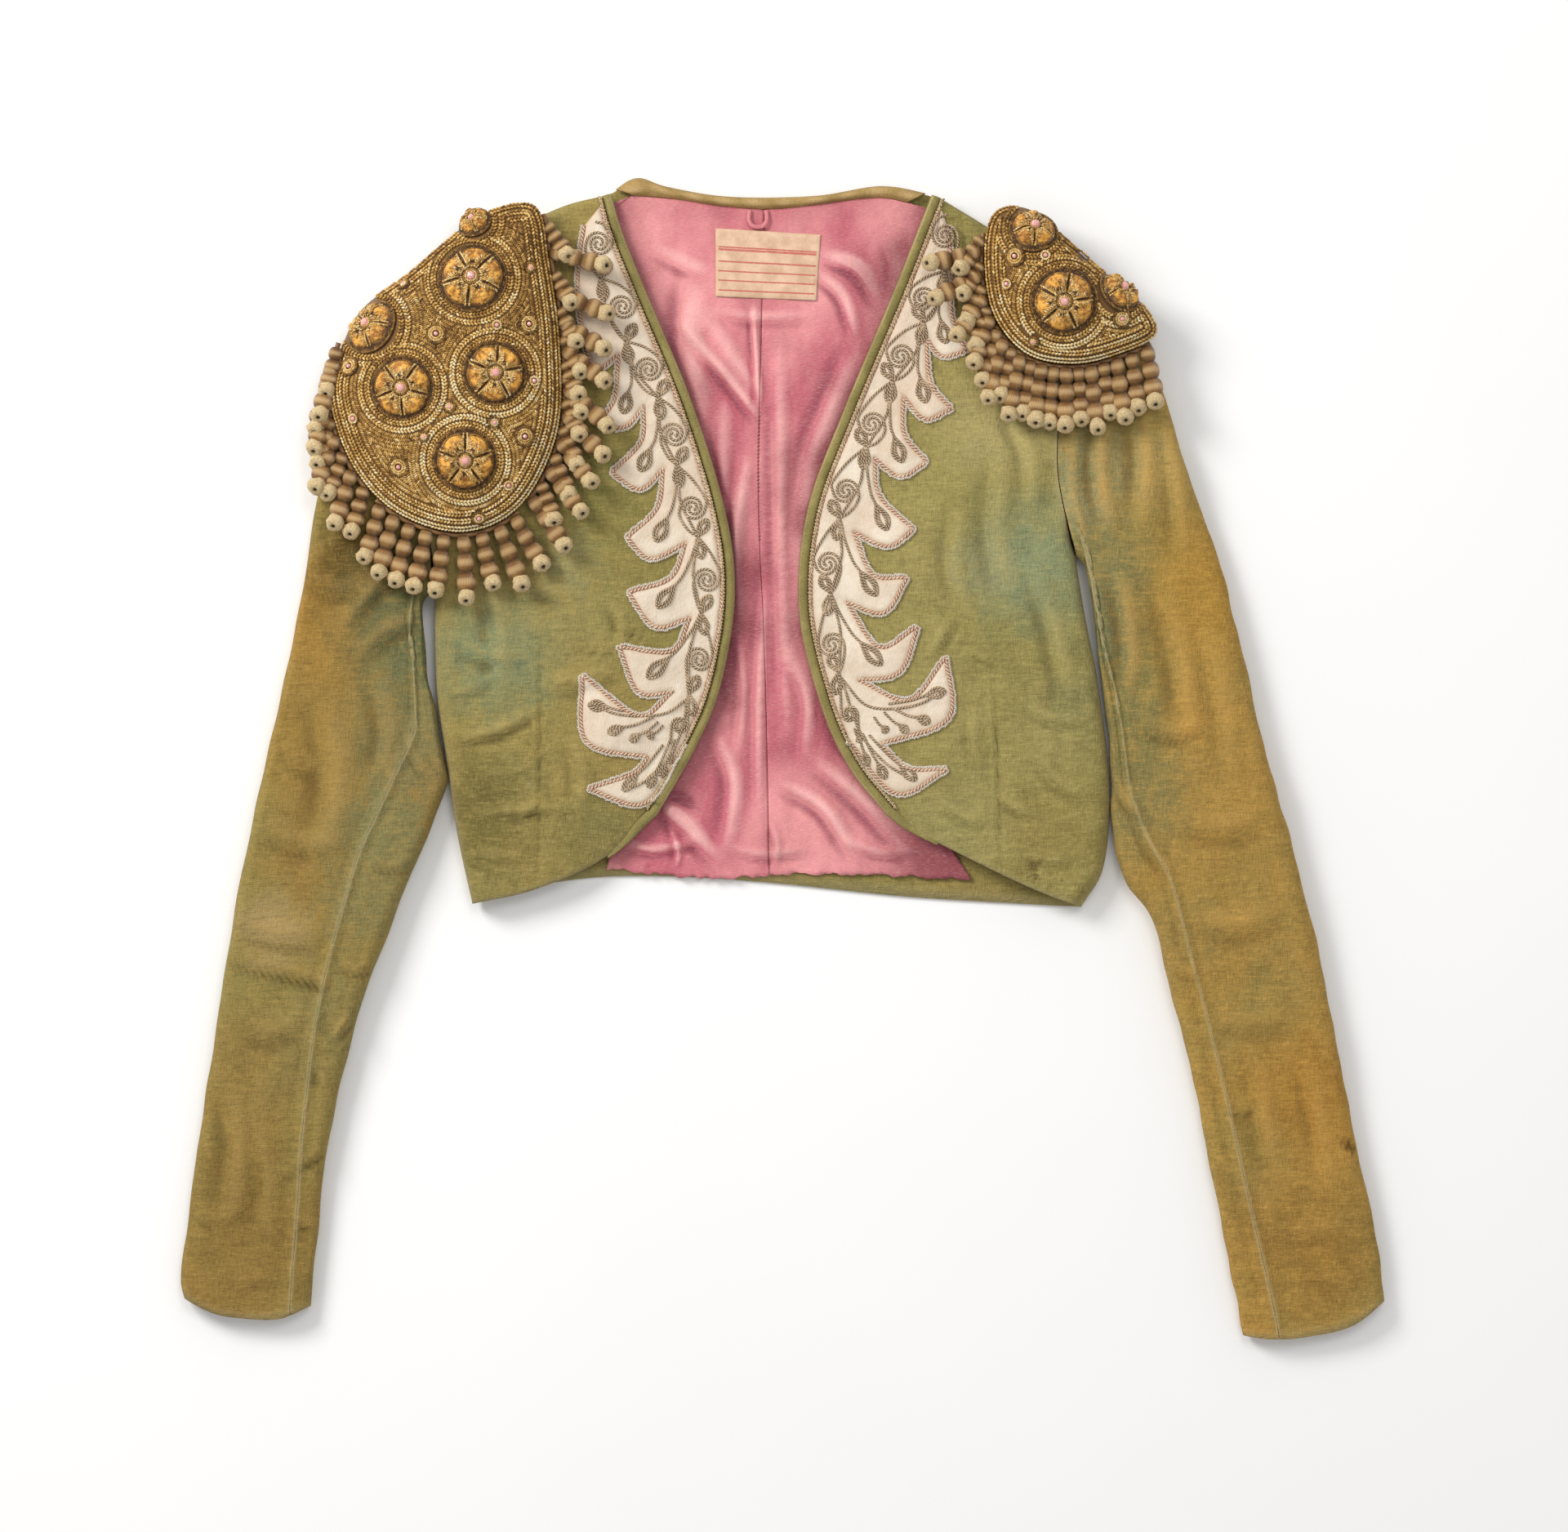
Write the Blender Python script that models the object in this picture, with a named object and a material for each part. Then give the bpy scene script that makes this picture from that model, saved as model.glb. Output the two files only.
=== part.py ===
"""Matador jacket in green velvet, laid open on its back with the sleeves beside it.

Metres, +Z up: the floor is z = 0, +X runs to the viewer's right and +Y from the hem to the neck.
Left and right are as seen from above. Plan points stand on the photograph's grid, whose step is STEP.
"""

import math

import bmesh
import bpy
import numpy as np
from mathutils import Vector
from mathutils.bvhtree import BVHTree
from mathutils.geometry import delaunay_2d_cdt

MM = 0.001
STEP = 0.55 * MM
GRID_CENTRE = (958, 929)

# Cloth
GAP = 0.3 * MM
LAID_GAP = 0.6 * MM
PADDED_GAP = 0.9 * MM
VELVET_WALL = 2.4 * MM
SATIN_WALL = 1.0 * MM
APPLIQUE_WALL = 1.2 * MM
LABEL_WALL = 0.6 * MM
BINDING_WALL = 3.2 * MM
BINDING_WIDTH = 6.8 * MM

# Heights of the laid jacket
BODY_TOP = 20 * MM
OPENING_TOP = 13 * MM
OPENING_SLOPE = 95 * MM
SEAM_HEIGHT = 9 * MM
FOLD_RADIUS = 11 * MM
UNDERARM_TURN = 45 * MM
NECK_TURN = 28 * MM
NECK_FLAT = 14 * MM
LINING_TOP = VELVET_WALL + GAP + SATIN_WALL
FRINGE_BED = BODY_TOP + 3.0 * MM

# Plan curves of the body, each from the hem upwards or from left to right
LEFT_SIDE = [(578, 1107), (560, 1024), (546, 935), (534, 846), (531, 724)]
LEFT_ARMHOLE = [(531, 724), (528, 640), (535, 520), (545, 420), (560, 330)]
LEFT_SHOULDER = [(560, 330), (620, 286), (690, 252), (748, 236)]
LEFT_HEM = [(578, 1107), (657, 1089), (745, 1051), (805, 998)]
LEFT_OPENING = [
    (805, 998), (854, 912), (883, 838), (900, 731), (889, 628), (847, 491), (794, 363), (763, 286),
    (748, 236),
]
RIGHT_SIDE = [(1324, 1111), (1352, 1060), (1359, 962), (1345, 838), (1329, 755), (1317, 682)]
RIGHT_ARMHOLE = [(1317, 682), (1297, 599), (1294, 540), (1302, 450), (1340, 372)]
RIGHT_SHOULDER = [(1141, 238), (1215, 282), (1285, 330), (1340, 372)]
RIGHT_HEM = [(1086, 999), (1115, 1019), (1195, 1057), (1268, 1090), (1324, 1111)]
RIGHT_OPENING = [
    (1086, 999), (1039, 939), (1005, 864), (978, 747), (988, 626), (1031, 507), (1092, 362), (1124, 281),
    (1141, 238),
]
BACK_HEM = [
    (578, 1107), (657, 1085), (740, 1074), (833, 1074), (951, 1082), (1107, 1098), (1250, 1107), (1324, 1111),
]
NECK = [(748, 236), (779, 218), (817, 229), (893, 241), (998, 240), (1079, 228), (1141, 238)]
NECK_LOWER = [(772, 236), (830, 241), (893, 250), (957, 252), (1068, 239), (1118, 246)]

# Plan curves of the sleeves, each from the shoulder to the cuff
LEFT_SLEEVE_OUTER = [
    (556, 333), (482, 388), (432, 445), (408, 520), (387, 606), (360, 767), (293, 1080), (262, 1266),
    (223, 1541), (224, 1590),
]
LEFT_SLEEVE_INNER = [
    (528, 725), (515, 742), (518, 790), (522, 835), (530, 864), (536, 899), (543, 935), (546, 962),
    (528, 1010), (483, 1120), (437, 1244), (401, 1403), (386, 1534), (379, 1600),
]
LEFT_CUFF = [(224, 1590), (264, 1609), (307, 1615), (345, 1614), (379, 1600)]
RIGHT_SLEEVE_OUTER = [
    (1345, 372), (1398, 420), (1428, 480), (1462, 590), (1500, 700), (1550, 910), (1596, 1080), (1629, 1228),
    (1657, 1376), (1689, 1531), (1695, 1594),
]
RIGHT_SLEEVE_INNER = [
    (1321, 682), (1336, 700), (1343, 755), (1350, 829), (1360, 893), (1363, 962), (1364, 1022), (1381, 1080),
    (1411, 1123), (1431, 1200), (1459, 1306), (1489, 1461), (1523, 1636),
]
RIGHT_CUFF = [(1695, 1594), (1655, 1624), (1600, 1637), (1560, 1640), (1523, 1636)]
CUFF_TOP = 15 * MM
ELBOW_TOP = 24 * MM
SLEEVE_STATIONS = (0.0, 0.28, 0.5, 1.0)

# Where the upper sleeve meets the under sleeve, as (part of the length, part of the width)
LEFT_SLEEVE_SEAM = [(0.0, 0.86), (0.22, 0.82), (0.45, 0.71), (0.65, 0.74), (0.85, 0.82), (1.0, 0.84)]
RIGHT_SLEEVE_SEAM = [(0.0, 0.86), (0.25, 0.80), (0.42, 0.74), (0.65, 0.78), (1.0, 0.76)]
BACK_SEAM = 0.5

# Lobes of the applique from the top down: middle of the upper side, tip, middle of the underside, next notch
LEFT_LOBE_START = [(716, 276), (708, 340), (714, 410), (730, 451), (758, 433)]
LEFT_LOBES = [
    ((753, 489), (731, 519), (765, 523), (789, 496)),
    ((786, 541), (750, 579), (784, 599), (813, 573)),
    ((806, 622), (769, 659), (797, 684), (841, 664)),
    ((822, 708), (771, 726), (802, 767), (846, 756)),
    ((823, 798), (760, 793), (783, 847), (825, 847)),
    ((782, 877), (714, 828), (720, 908), (795, 927)),
    ((775, 948), (722, 966), (790, 983), (838, 909)),
]
RIGHT_LOBE_START = [(1160, 276), (1163, 305), (1166, 342)]
RIGHT_LOBES = [
    ((1165, 385), (1182, 430), (1154, 436), (1134, 413)),
    ((1139, 469), (1164, 501), (1133, 513), (1106, 485)),
    ((1107, 532), (1134, 566), (1102, 583), (1070, 560)),
    ((1077, 608), (1118, 649), (1087, 669), (1045, 651)),
    ((1068, 704), (1110, 708), (1082, 750), (1036, 737)),
    ((1076, 793), (1123, 768), (1101, 823), (1050, 833)),
    ((1113, 858), (1158, 806), (1160, 880), (1077, 911)),
    ((1112, 941), (1159, 942), (1097, 971), (1039, 906)),
]

# Folds of the back lining: two ends on the plan, half width and height in millimetres
LINING_SEAM = [(936, 256), (932, 420), (929, 620), (937, 820), (942, 1072)]
LINING_LOW = [(742, 1064), (804, 1071), (892, 1076), (960, 1071), (1077, 1072), (1190, 1078)]
LINING_UNDER = 26 * MM
LINING_HIDDEN_TOP = (720, 292)
LINING_NECK_INSET = 18 * MM
LINING_FOLDS = [
    ((838, 398), (930, 510), 14, 3.0),
    ((915, 560), (905, 760), 15, 2.4),
    ((955, 420), (965, 900), 14, 2.2),
    ((790, 960), (880, 1050), 16, 2.4),
    ((1010, 310), (1075, 370), 14, 2.6),
    ((1000, 930), (1120, 1050), 16, 2.2),
    ((940, 700), (930, 1000), 13, 1.8),
]

FLAT_SPACING = 30 * MM
LABEL = [(876, 278), (1005, 286), (1000, 367), (876, 362)]
HANGER_LOOP = [(916, 262), (919, 274), (937, 275), (940, 262), (934, 262), (932, 270), (924, 270), (922, 262)]

# Epaulettes
LEFT_EPAULETTE = [
    (656, 255), (673, 324), (686, 424), (683, 530), (639, 619), (569, 652), (489, 629), (435, 572),
    (407, 492), (415, 439), (442, 379), (504, 333), (544, 300), (592, 264),
]
RIGHT_EPAULETTE = [
    (1205, 307), (1214, 382), (1253, 433), (1309, 447), (1365, 436), (1414, 410), (1392, 368), (1345, 328),
    (1300, 290), (1258, 258), (1218, 262),
]
LEFT_EPAULETTE_CENTRE = (560, 458)
RIGHT_EPAULETTE_CENTRE = (1298, 352)
EPAULETTE_SEAT = BODY_TOP + 0.9 * MM
EPAULETTE_TURN = 14 * MM
EPAULETTE_TURN_STARTS = 0.9
EPAULETTE_CROWN = 52 * MM
EPAULETTE_RIM = BODY_TOP + 7.5 * MM
EPAULETTE_FOLD_RIM = 9 * MM
BRAID_HEIGHT = 1.8 * MM
BRAID_BAND = (0.80, 0.96)

# Rosettes: centre on the plan, radius in millimetres
LEFT_ROSETTES = [
    ((581, 345), 24), ((497, 479), 22), ((609, 461), 22),
    ((573, 566), 22), ((456, 402), 20), ((583, 276), 12),
]
RIGHT_ROSETTES = [((1300, 374), 23), ((1264, 285), 17), ((1368, 361), 16)]
ROSETTE_HEIGHT = 8 * MM
CAP_REACH = 4.5 * MM
CAP_STEP = 5 * MM
PETALS = 5
PETAL_STEPS = 2

# Rows and columns of the body's panels
PANEL_ROWS = 17
FRONT_COLUMNS = 8
BACK_COLUMNS = 7
FOLD_COLUMNS = 4

# Fringe stretches: side, first and last bearing in degrees, strands, shortest and longest reach in mm
FRINGES = [
    ("fringe_left_neck", "left", 59, 6, 10, 24, 38),
    ("fringe_left_front", "left", -1, -59, 11, 27, 40),
    ("fringe_left_hem", "left", -68, -120, 10, 38, 46),
    ("fringe_left_sleeve", "left", -129, -192, 9, 26, 36),
    ("fringe_right_neck", "right", 148, 203, 8, 26, 38),
    ("fringe_right_sleeve", "right", 214, 330, 15, 36, 44),
]
STRAND_SIDES = 3
# Along a strand: part of its reach, radius in millimetres
STRAND_PROFILE = [(0.00, 1.5), (0.16, 4.4), (0.36, 2.4), (0.56, 4.9), (0.76, 2.5), (0.92, 5.0), (1.00, 3.4)]


def clear_scene():
    for old in list(bpy.data.objects):
        bpy.data.objects.remove(old, do_unlink=True)


def material(name, colour, roughness, metallic=0.0):
    made = bpy.data.materials.new(name)
    made.use_nodes = True
    shader = made.node_tree.nodes["Principled BSDF"]
    shader.inputs["Base Color"].default_value = (*colour, 1)
    shader.inputs["Roughness"].default_value = roughness
    shader.inputs["Metallic"].default_value = metallic
    return made


def plan(points):
    """Plan points in metres from points on the photograph's grid."""
    grid = np.array(points, float)
    across = grid[..., 0] - GRID_CENTRE[0]
    up = GRID_CENTRE[1] - grid[..., 1]
    return np.stack((across, up), axis=-1) * STEP


def curve(points, closed=False):
    """A dense smooth curve through plan points."""
    knots = plan(points)
    if closed:
        knots = np.vstack((knots[-1:], knots, knots[:2]))
    else:
        knots = np.vstack((2 * knots[0] - knots[1], knots, 2 * knots[-1] - knots[-2]))
    run = []
    for a, b, c, d in zip(knots, knots[1:], knots[2:], knots[3:]):
        for t in np.linspace(0, 1, 20, endpoint=False):
            bend = (2 * a - 5 * b + 4 * c - d) * t * t + (3 * b - a - 3 * c + d) * t**3
            run.append(0.5 * (2 * b + (c - a) * t + bend))
    run.append(knots[-2])
    return np.array(run)


def joined(*pieces):
    """Curves laid end to end as one."""
    return np.vstack([pieces[0]] + [piece[1:] for piece in pieces[1:]])


def along(line, part):
    """The points at the given parts of a curve's length."""
    lengths = np.concatenate(([0], np.cumsum(np.linalg.norm(np.diff(line, axis=0), axis=1))))
    wanted = np.asarray(part) * lengths[-1]
    return np.stack([np.interp(wanted, lengths, line[:, axis]) for axis in (0, 1)], axis=-1)


def shifted(line, distance):
    """A curve moved sideways, to the left of its direction where the distance is positive."""
    ahead = np.gradient(line, axis=0)
    ahead /= np.linalg.norm(ahead, axis=1)[:, None]
    return line + distance * np.stack((-ahead[:, 1], ahead[:, 0]), axis=1)


def patch(left, right, low, high, across, up):
    """Points that fill four plan curves, at the given parts of the width and of the height."""
    u = across[..., None]
    v = up[..., None]
    rails = (1 - u) * along(left, up) + u * along(right, up)
    rungs = (1 - v) * along(low, across) + v * along(high, across)
    corners = (1 - v) * ((1 - u) * low[0] + u * low[-1]) + v * ((1 - u) * high[0] + u * high[-1])
    return rails + rungs - corners


def ease(part):
    part = np.clip(part, 0, 1)
    return part * part * (3 - 2 * part)


def normals_of(grid):
    ahead = np.gradient(grid, axis=0)
    across = np.gradient(grid, axis=1)
    normals = np.cross(ahead, across)
    return normals / np.linalg.norm(normals, axis=2)[..., None]


def rim_normals(normals, rim, inside, lift):
    """Turns the normals on a rim outwards, so that the wall's edge there is square to its seam."""
    out = rim[:, :2] - inside[:, :2]
    out /= np.linalg.norm(out, axis=1)[:, None]
    level = np.sqrt(1 - lift**2)
    normals[:, 0] = out[:, 0] * level
    normals[:, 1] = out[:, 1] * level
    normals[:, 2] = lift


def solid(name, points, faces, colour):
    """An object of one closed body with its faces pointing out."""
    mesh = bpy.data.meshes.new(name)
    mesh.from_pydata([tuple(point) for point in points], [], [tuple(map(int, face)) for face in faces])
    shape = bmesh.new()
    shape.from_mesh(mesh)
    bmesh.ops.remove_doubles(shape, verts=shape.verts, dist=1e-6)
    bmesh.ops.recalc_face_normals(shape, faces=shape.faces)
    bmesh.ops.triangulate(shape, faces=shape.faces)
    shape.to_mesh(mesh)
    shape.free()
    mesh.shade_smooth()
    mesh.set_sharp_from_angle(angle=math.radians(40))
    mesh.materials.append(colour)
    made = bpy.data.objects.new(name, mesh)
    bpy.context.scene.collection.objects.link(made)
    return made


def wall(name, outer, inner, colour):
    """A sheet of cloth between two grids of points of the same shape."""
    rows, columns = outer.shape[:2]
    points = np.concatenate((outer.reshape(-1, 3), inner.reshape(-1, 3)))
    index = np.arange(rows * columns).reshape(rows, columns)
    under = index + rows * columns
    faces = []
    for i in range(rows - 1):
        for j in range(columns - 1):
            faces.append((index[i, j], index[i + 1, j], index[i + 1, j + 1], index[i, j + 1]))
            faces.append((under[i, j], under[i, j + 1], under[i + 1, j + 1], under[i + 1, j]))
    edge = [(i, 0) for i in range(rows)] + [(rows - 1, j) for j in range(1, columns)]
    edge += [(i, columns - 1) for i in range(rows - 2, -1, -1)] + [(0, j) for j in range(columns - 2, 0, -1)]
    for here, after in zip(edge, edge[1:] + edge[:1]):
        faces.append((index[here], index[after], under[after], under[here]))
    return solid(name, points, faces, colour)


def plate(name, outline, spacing, low, high, colour):
    """A closed plate over a plan outline, between two heights that are functions of the plan point."""
    count = len(outline)
    corner, far = outline.min(axis=0), outline.max(axis=0)
    inside = []
    for x in np.arange(corner[0] + spacing / 2, far[0], spacing):
        for y in np.arange(corner[1] + spacing / 2, far[1], spacing):
            if within(outline, (x, y)) and np.linalg.norm(outline - (x, y), axis=1).min() > 0.45 * spacing:
                inside.append((x, y))
    every = [Vector(point) for point in outline] + [Vector(point) for point in inside]
    flat, _, triangles, *_ = delaunay_2d_cdt(every, [], [list(range(count))], 1, 1e-7)
    points = [(x, y, high(x, y)) for x, y in flat] + [(x, y, low(x, y)) for x, y in flat]
    under = len(flat)
    used = {}
    for triangle in triangles:
        for a, b in zip(triangle, triangle[1:] + triangle[:1]):
            used[(a, b)] = used.get((b, a)) is None
            if not used[(a, b)]:
                used[(b, a)] = False
    faces = [tuple(triangle) for triangle in triangles]
    faces += [tuple(under + corner for corner in reversed(triangle)) for triangle in triangles]
    faces += [(b, a, under + a, under + b) for (a, b), rim in used.items() if rim]
    return solid(name, points, faces, colour)


def within(outline, point):
    """Whether a plan point lies inside a closed outline."""
    x, y = point
    inside = False
    for (ax, ay), (bx, by) in zip(outline, np.roll(outline, -1, axis=0)):
        if (ay > y) != (by > y) and x < (bx - ax) * (y - ay) / (by - ay) + ax:
            inside = not inside
    return inside


def tree_of(made):
    mesh = made.data
    return BVHTree.FromPolygons([v.co for v in mesh.vertices], [tuple(p.vertices) for p in mesh.polygons])


def surface_under(panel):
    """The height of a panel's upper face over a plan point."""
    tree = tree_of(panel)

    def height(x, y):
        hit = tree.ray_cast(Vector((x, y, 1)), Vector((0, 0, -1)))[0]
        return hit.z if hit else OPENING_TOP

    return height


def body_layer(opening, edge, low, high, turn, rows, face):
    """A front's or half a back's outer grid: rows up the panel, columns from the seam to the opening."""
    width = np.linalg.norm(along(edge, rows) - along(opening, rows), axis=1)
    columns = FRONT_COLUMNS if face > 0 else BACK_COLUMNS
    angles = turn[:, None] + (math.pi / 2 - turn)[:, None] * np.linspace(0, 1, FOLD_COLUMNS + 1)[None, :]
    inset = FOLD_RADIUS * (np.cos(turn)[:, None] - np.cos(angles)) / width[:, None]
    flat = inset[:, -1:] + (1 - inset[:, -1:]) * np.linspace(0, 1, columns + 1)[None, 1:]
    across = np.hstack((inset, flat))
    sine = np.hstack((np.sin(angles), np.ones_like(flat)))
    up = np.repeat(rows[:, None], across.shape[1], axis=1)
    ground = patch(edge, opening, low, high, across, up)
    height = np.linalg.norm(along(high, 0.5) - along(low, 0.5))
    shoulder = np.sqrt(np.clip(1 - (1 - np.clip((1 - up) * height / FOLD_RADIUS, 0, 1)) ** 2, 0, 1))
    if face > 0:
        distance = (1 - across) * width[:, None]
        top = OPENING_TOP + (BODY_TOP - OPENING_TOP) * ease(distance / OPENING_SLOPE)
        z = SEAM_HEIGHT + GAP / 2 + (top - SEAM_HEIGHT - GAP / 2) * sine * shoulder
    else:
        z = (SEAM_HEIGHT - GAP / 2) * (1 - sine * (1 - (1 - shoulder) * neck_curl(ground[..., 0])))
    return np.dstack((ground, z))


def neck_curl(x):
    """How far the back turns up at its top edge: fully at the shoulders, and not at all along the neck."""
    left, right = plan((NECK[0], NECK[-1]))[:, 0]
    return np.clip((np.maximum(left - x, x - right) - NECK_FLAT) / NECK_TURN, 0, 1)


def shoulder_rows(count):
    """Parts of a panel's height: even rows, then closer ones where it folds over at the shoulder."""
    fold = 0.024
    even = np.linspace(0, 1 - fold, count + 1)
    close = 1 - fold * np.cos(np.radians([30, 55, 90]))
    return np.concatenate((even, close))


def front(name, opening, side, armhole, hem, shoulder, velvet):
    edge = joined(side, armhole)
    rows = shoulder_rows(PANEL_ROWS)
    turn = armhole_turn(side, armhole, rows)
    grid = body_layer(opening, edge, hem, shoulder, turn, rows, 1)
    return finish_layer(name, grid, turn, 1, velvet)


def armhole_turn(side, armhole, rows):
    """How far the panel's edge has turned level at each row: not at all below the underarm."""
    side_run = np.linalg.norm(np.diff(side, axis=0), axis=1).sum()
    whole = side_run + np.linalg.norm(np.diff(armhole, axis=0), axis=1).sum()
    return np.radians(88) * ease((rows * whole - side_run) / UNDERARM_TURN)


def finish_layer(name, grid, turn, face, velvet):
    normals = normals_of(grid)
    if (normals[..., 2].mean() > 0) != (face > 0):
        normals = -normals
    rim_normals(normals[:, 0], grid[:, 0], grid[:, 2], face * np.sin(turn))
    rim_normals(normals[-1], grid[-1], grid[-3], np.zeros(grid.shape[1]))
    return wall(name, grid, grid - normals * VELVET_WALL, velvet)


def back(velvet, left, right, hem, top):
    """The back, made of one grid from the left seam over the floor to the right seam."""
    rows = shoulder_rows(PANEL_ROWS)
    halves = []
    middle_low, middle_high = along(hem, 0.5), along(top, 0.5)
    middle = np.linspace(middle_low, middle_high, 50)
    for side, armhole, low, high in left, right:
        turn = armhole_turn(side, armhole, rows)
        halves.append((body_layer(middle, joined(side, armhole), low, high, turn, rows, -1), turn))
    (left_grid, left_turn), (right_grid, right_turn) = halves
    grid = np.hstack((left_grid, right_grid[:, -2::-1]))
    normals = normals_of(grid)
    if normals[..., 2].mean() > 0:
        normals = -normals
    rim_normals(normals[:, 0], grid[:, 0], grid[:, 2], -np.sin(left_turn))
    rim_normals(normals[:, -1], grid[:, -1], grid[:, -3], -np.sin(right_turn))
    curl = neck_curl(grid[-1, :, 0])
    rim_normals(normals[-1], grid[-1], grid[-3], -np.sqrt(1 - curl**2))
    return wall("back_panel", grid, grid - normals * VELVET_WALL, velvet)


def sleeve(side, outer, inner, armhole, cuff, seam, velvet):
    """Upper and under sleeve: one flattened tube, parted at the front seam and at the back seam below."""
    rows = np.linspace(0, 1, 14)
    width = np.linalg.norm(along(outer, rows) - along(inner, rows), axis=1)
    top = np.interp(rows, SLEEVE_STATIONS, [BODY_TOP, BODY_TOP, ELBOW_TOP, CUFF_TOP])
    front_seam = np.interp(rows, *zip(*seam))
    half_gap = 0.5 * GAP / width
    fold = np.radians([-90, -60, -30, 0, 30, 60, 90])
    inset = FOLD_RADIUS * (1 - np.cos(fold))[None, :] / width[:, None]
    turned = (1 + np.sin(fold))[None, :] * top[:, None] / 2
    level = np.cos(fold)[None, :] * top[:, None] / 2 / FOLD_RADIUS
    lift = np.repeat(np.sin(fold)[None, :], len(rows), axis=0)
    ways = along(inner, rows) - along(outer, rows)
    ways /= np.linalg.norm(ways, axis=1)[:, None]

    def flat_run(start, end, count, height, face):
        across = start[:, None] + (end - start)[:, None] * np.linspace(0, 1, count + 1)[None, :]
        z = np.repeat(height[:, None], count + 1, axis=1)
        return across, z, np.zeros_like(z), np.full_like(z, face)

    floor = np.zeros_like(top)
    back_seam = np.full_like(top, BACK_SEAM)
    upper = [
        flat_run(back_seam - half_gap, inset[:, 0], 2, floor, -1),
        (inset[:, 1:-1], turned[:, 1:-1], -level[:, 1:-1], lift[:, 1:-1]),
        flat_run(inset[:, -1], front_seam - half_gap, 4, top, 1),
    ]
    under = [
        flat_run(front_seam + half_gap, 1 - inset[:, -1], 1, top, 1),
        ((1 - inset)[:, -2:0:-1], turned[:, -2:0:-1], level[:, -2:0:-1], lift[:, -2:0:-1]),
        flat_run(1 - inset[:, 0], back_seam + half_gap, 2, floor, -1),
    ]
    for name, runs in ("upper", upper), ("under", under):
        across, height, sideways, rise = (np.hstack(parts) for parts in zip(*runs))
        length = np.repeat(rows[:, None], across.shape[1], axis=1)
        grid = np.dstack((patch(outer, inner, armhole, cuff, across, length), height))
        normals = np.dstack((sideways[..., None] * ways[:, None, :], rise))
        normals /= np.linalg.norm(normals, axis=2)[..., None]
        wall(f"sleeve_{side}_{name}", grid, grid - normals * VELVET_WALL, velvet)


def binding(name, opening, inward, over, velvet):
    """The bound edge of a front, rolled a little higher than the panel beside it."""
    parts = shoulder_rows(PANEL_ROWS)
    outer_line = along(opening, parts)
    inner_line = along(shifted(opening, inward), parts)
    across = np.linspace(0, 1, 3)
    rows = []
    for edge, cord in zip(outer_line, inner_line):
        rows.append([cord + (edge - cord) * part for part in across])
    ground = np.array(rows)
    height = np.array([over(*cord) for cord in inner_line])
    roll = np.array([0.2, 0.9, -0.5]) * MM
    grid = np.dstack((ground, height[:, None] + roll[None, :]))
    return wall(name, grid, grid - np.array((0, 0, BINDING_WALL)), velvet)


def bend(start, middle, end, count):
    """Points after the first on the parabola through three plan points."""
    start, middle, end = (np.array(point, float) for point in (start, middle, end))
    control = 2 * middle - (start + end) / 2
    for t in np.linspace(0, 1, count + 1)[1:]:
        yield (1 - t) ** 2 * start + 2 * t * (1 - t) * control + t * t * end


def applique(name, start, lobes, edge, panel, ivory):
    """The scalloped band on a front: its lobes on one side, its edge beside the binding on the other."""
    outline = [np.array(point, float) for point in start]
    for side_middle, tip, under_middle, notch in lobes:
        outline += bend(outline[-1], side_middle, tip, 4)
        outline += bend(tip, under_middle, notch, 4)
    lobed = plan(outline)
    nearest = np.argmin(np.linalg.norm(edge - lobed[-1], axis=1))
    part = nearest / (len(edge) - 1)
    straight = along(edge, np.linspace(part + 0.02, 0.985, 18))
    over = surface_under(panel)
    return plate(
        name,
        np.vstack((lobed, straight)),
        17 * MM,
        lambda x, y: over(x, y) + LAID_GAP,
        lambda x, y: over(x, y) + LAID_GAP + APPLIQUE_WALL,
        ivory,
    )


def lining_height(x, y):
    """The rise of the back lining's folds, flat under the label and at the neck."""
    here = np.array((x, y))
    rise = 0.0
    for first, last, half_width, height in LINING_FOLDS:
        a, b = plan(first), plan(last)
        part = np.clip(np.dot(here - a, b - a) / np.dot(b - a, b - a), 0, 1)
        distance = np.linalg.norm(here - a - (b - a) * part)
        rise += height * MM * math.exp(-((distance / (half_width * MM)) ** 2))
    return min(rise, 4.5 * MM) * float(ease((plan((0, 375))[1] - y) / (18 * MM)))


def lining(name, opening, inward, seam_side, pink):
    """Half of the back lining, from the centre seam to a little way under the front."""
    seam = shifted(curve(LINING_SEAM), seam_side * GAP / 2)
    neck = shifted(curve(NECK_LOWER), -1.2 * MM)
    ends = plan((NECK[0], NECK[-1]))[:, 0]
    neck = neck[(neck[:, 0] > ends[0] + LINING_NECK_INSET) & (neck[:, 0] < ends[1] - LINING_NECK_INSET)]
    low = curve(LINING_LOW)
    hidden = shifted(opening, inward)
    if seam_side < 0:
        neck = neck[neck[:, 0] < seam[0, 0] - 2 * MM]
        low = low[low[:, 0] < seam[-1, 0] - 2 * MM][::-1]
    else:
        neck = neck[neck[:, 0] > seam[0, 0] + 2 * MM][::-1]
        low = low[low[:, 0] > seam[-1, 0] + 2 * MM]
    covered = (hidden[:, 1] < plan(LINING_HIDDEN_TOP)[1]) & (hidden[:, 1] > low[-1, 1] + 8 * MM)
    runs = (neck, 11), (seam, 22), (low, 8), (hidden[covered], 22)
    outline = np.vstack([along(line, np.linspace(0, 1, count)) for line, count in runs])
    floor = VELVET_WALL + GAP
    return plate(
        name,
        outline,
        20 * MM,
        lambda x, y: floor + lining_height(x, y),
        lambda x, y: floor + SATIN_WALL + lining_height(x, y),
        pink,
    )


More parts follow.
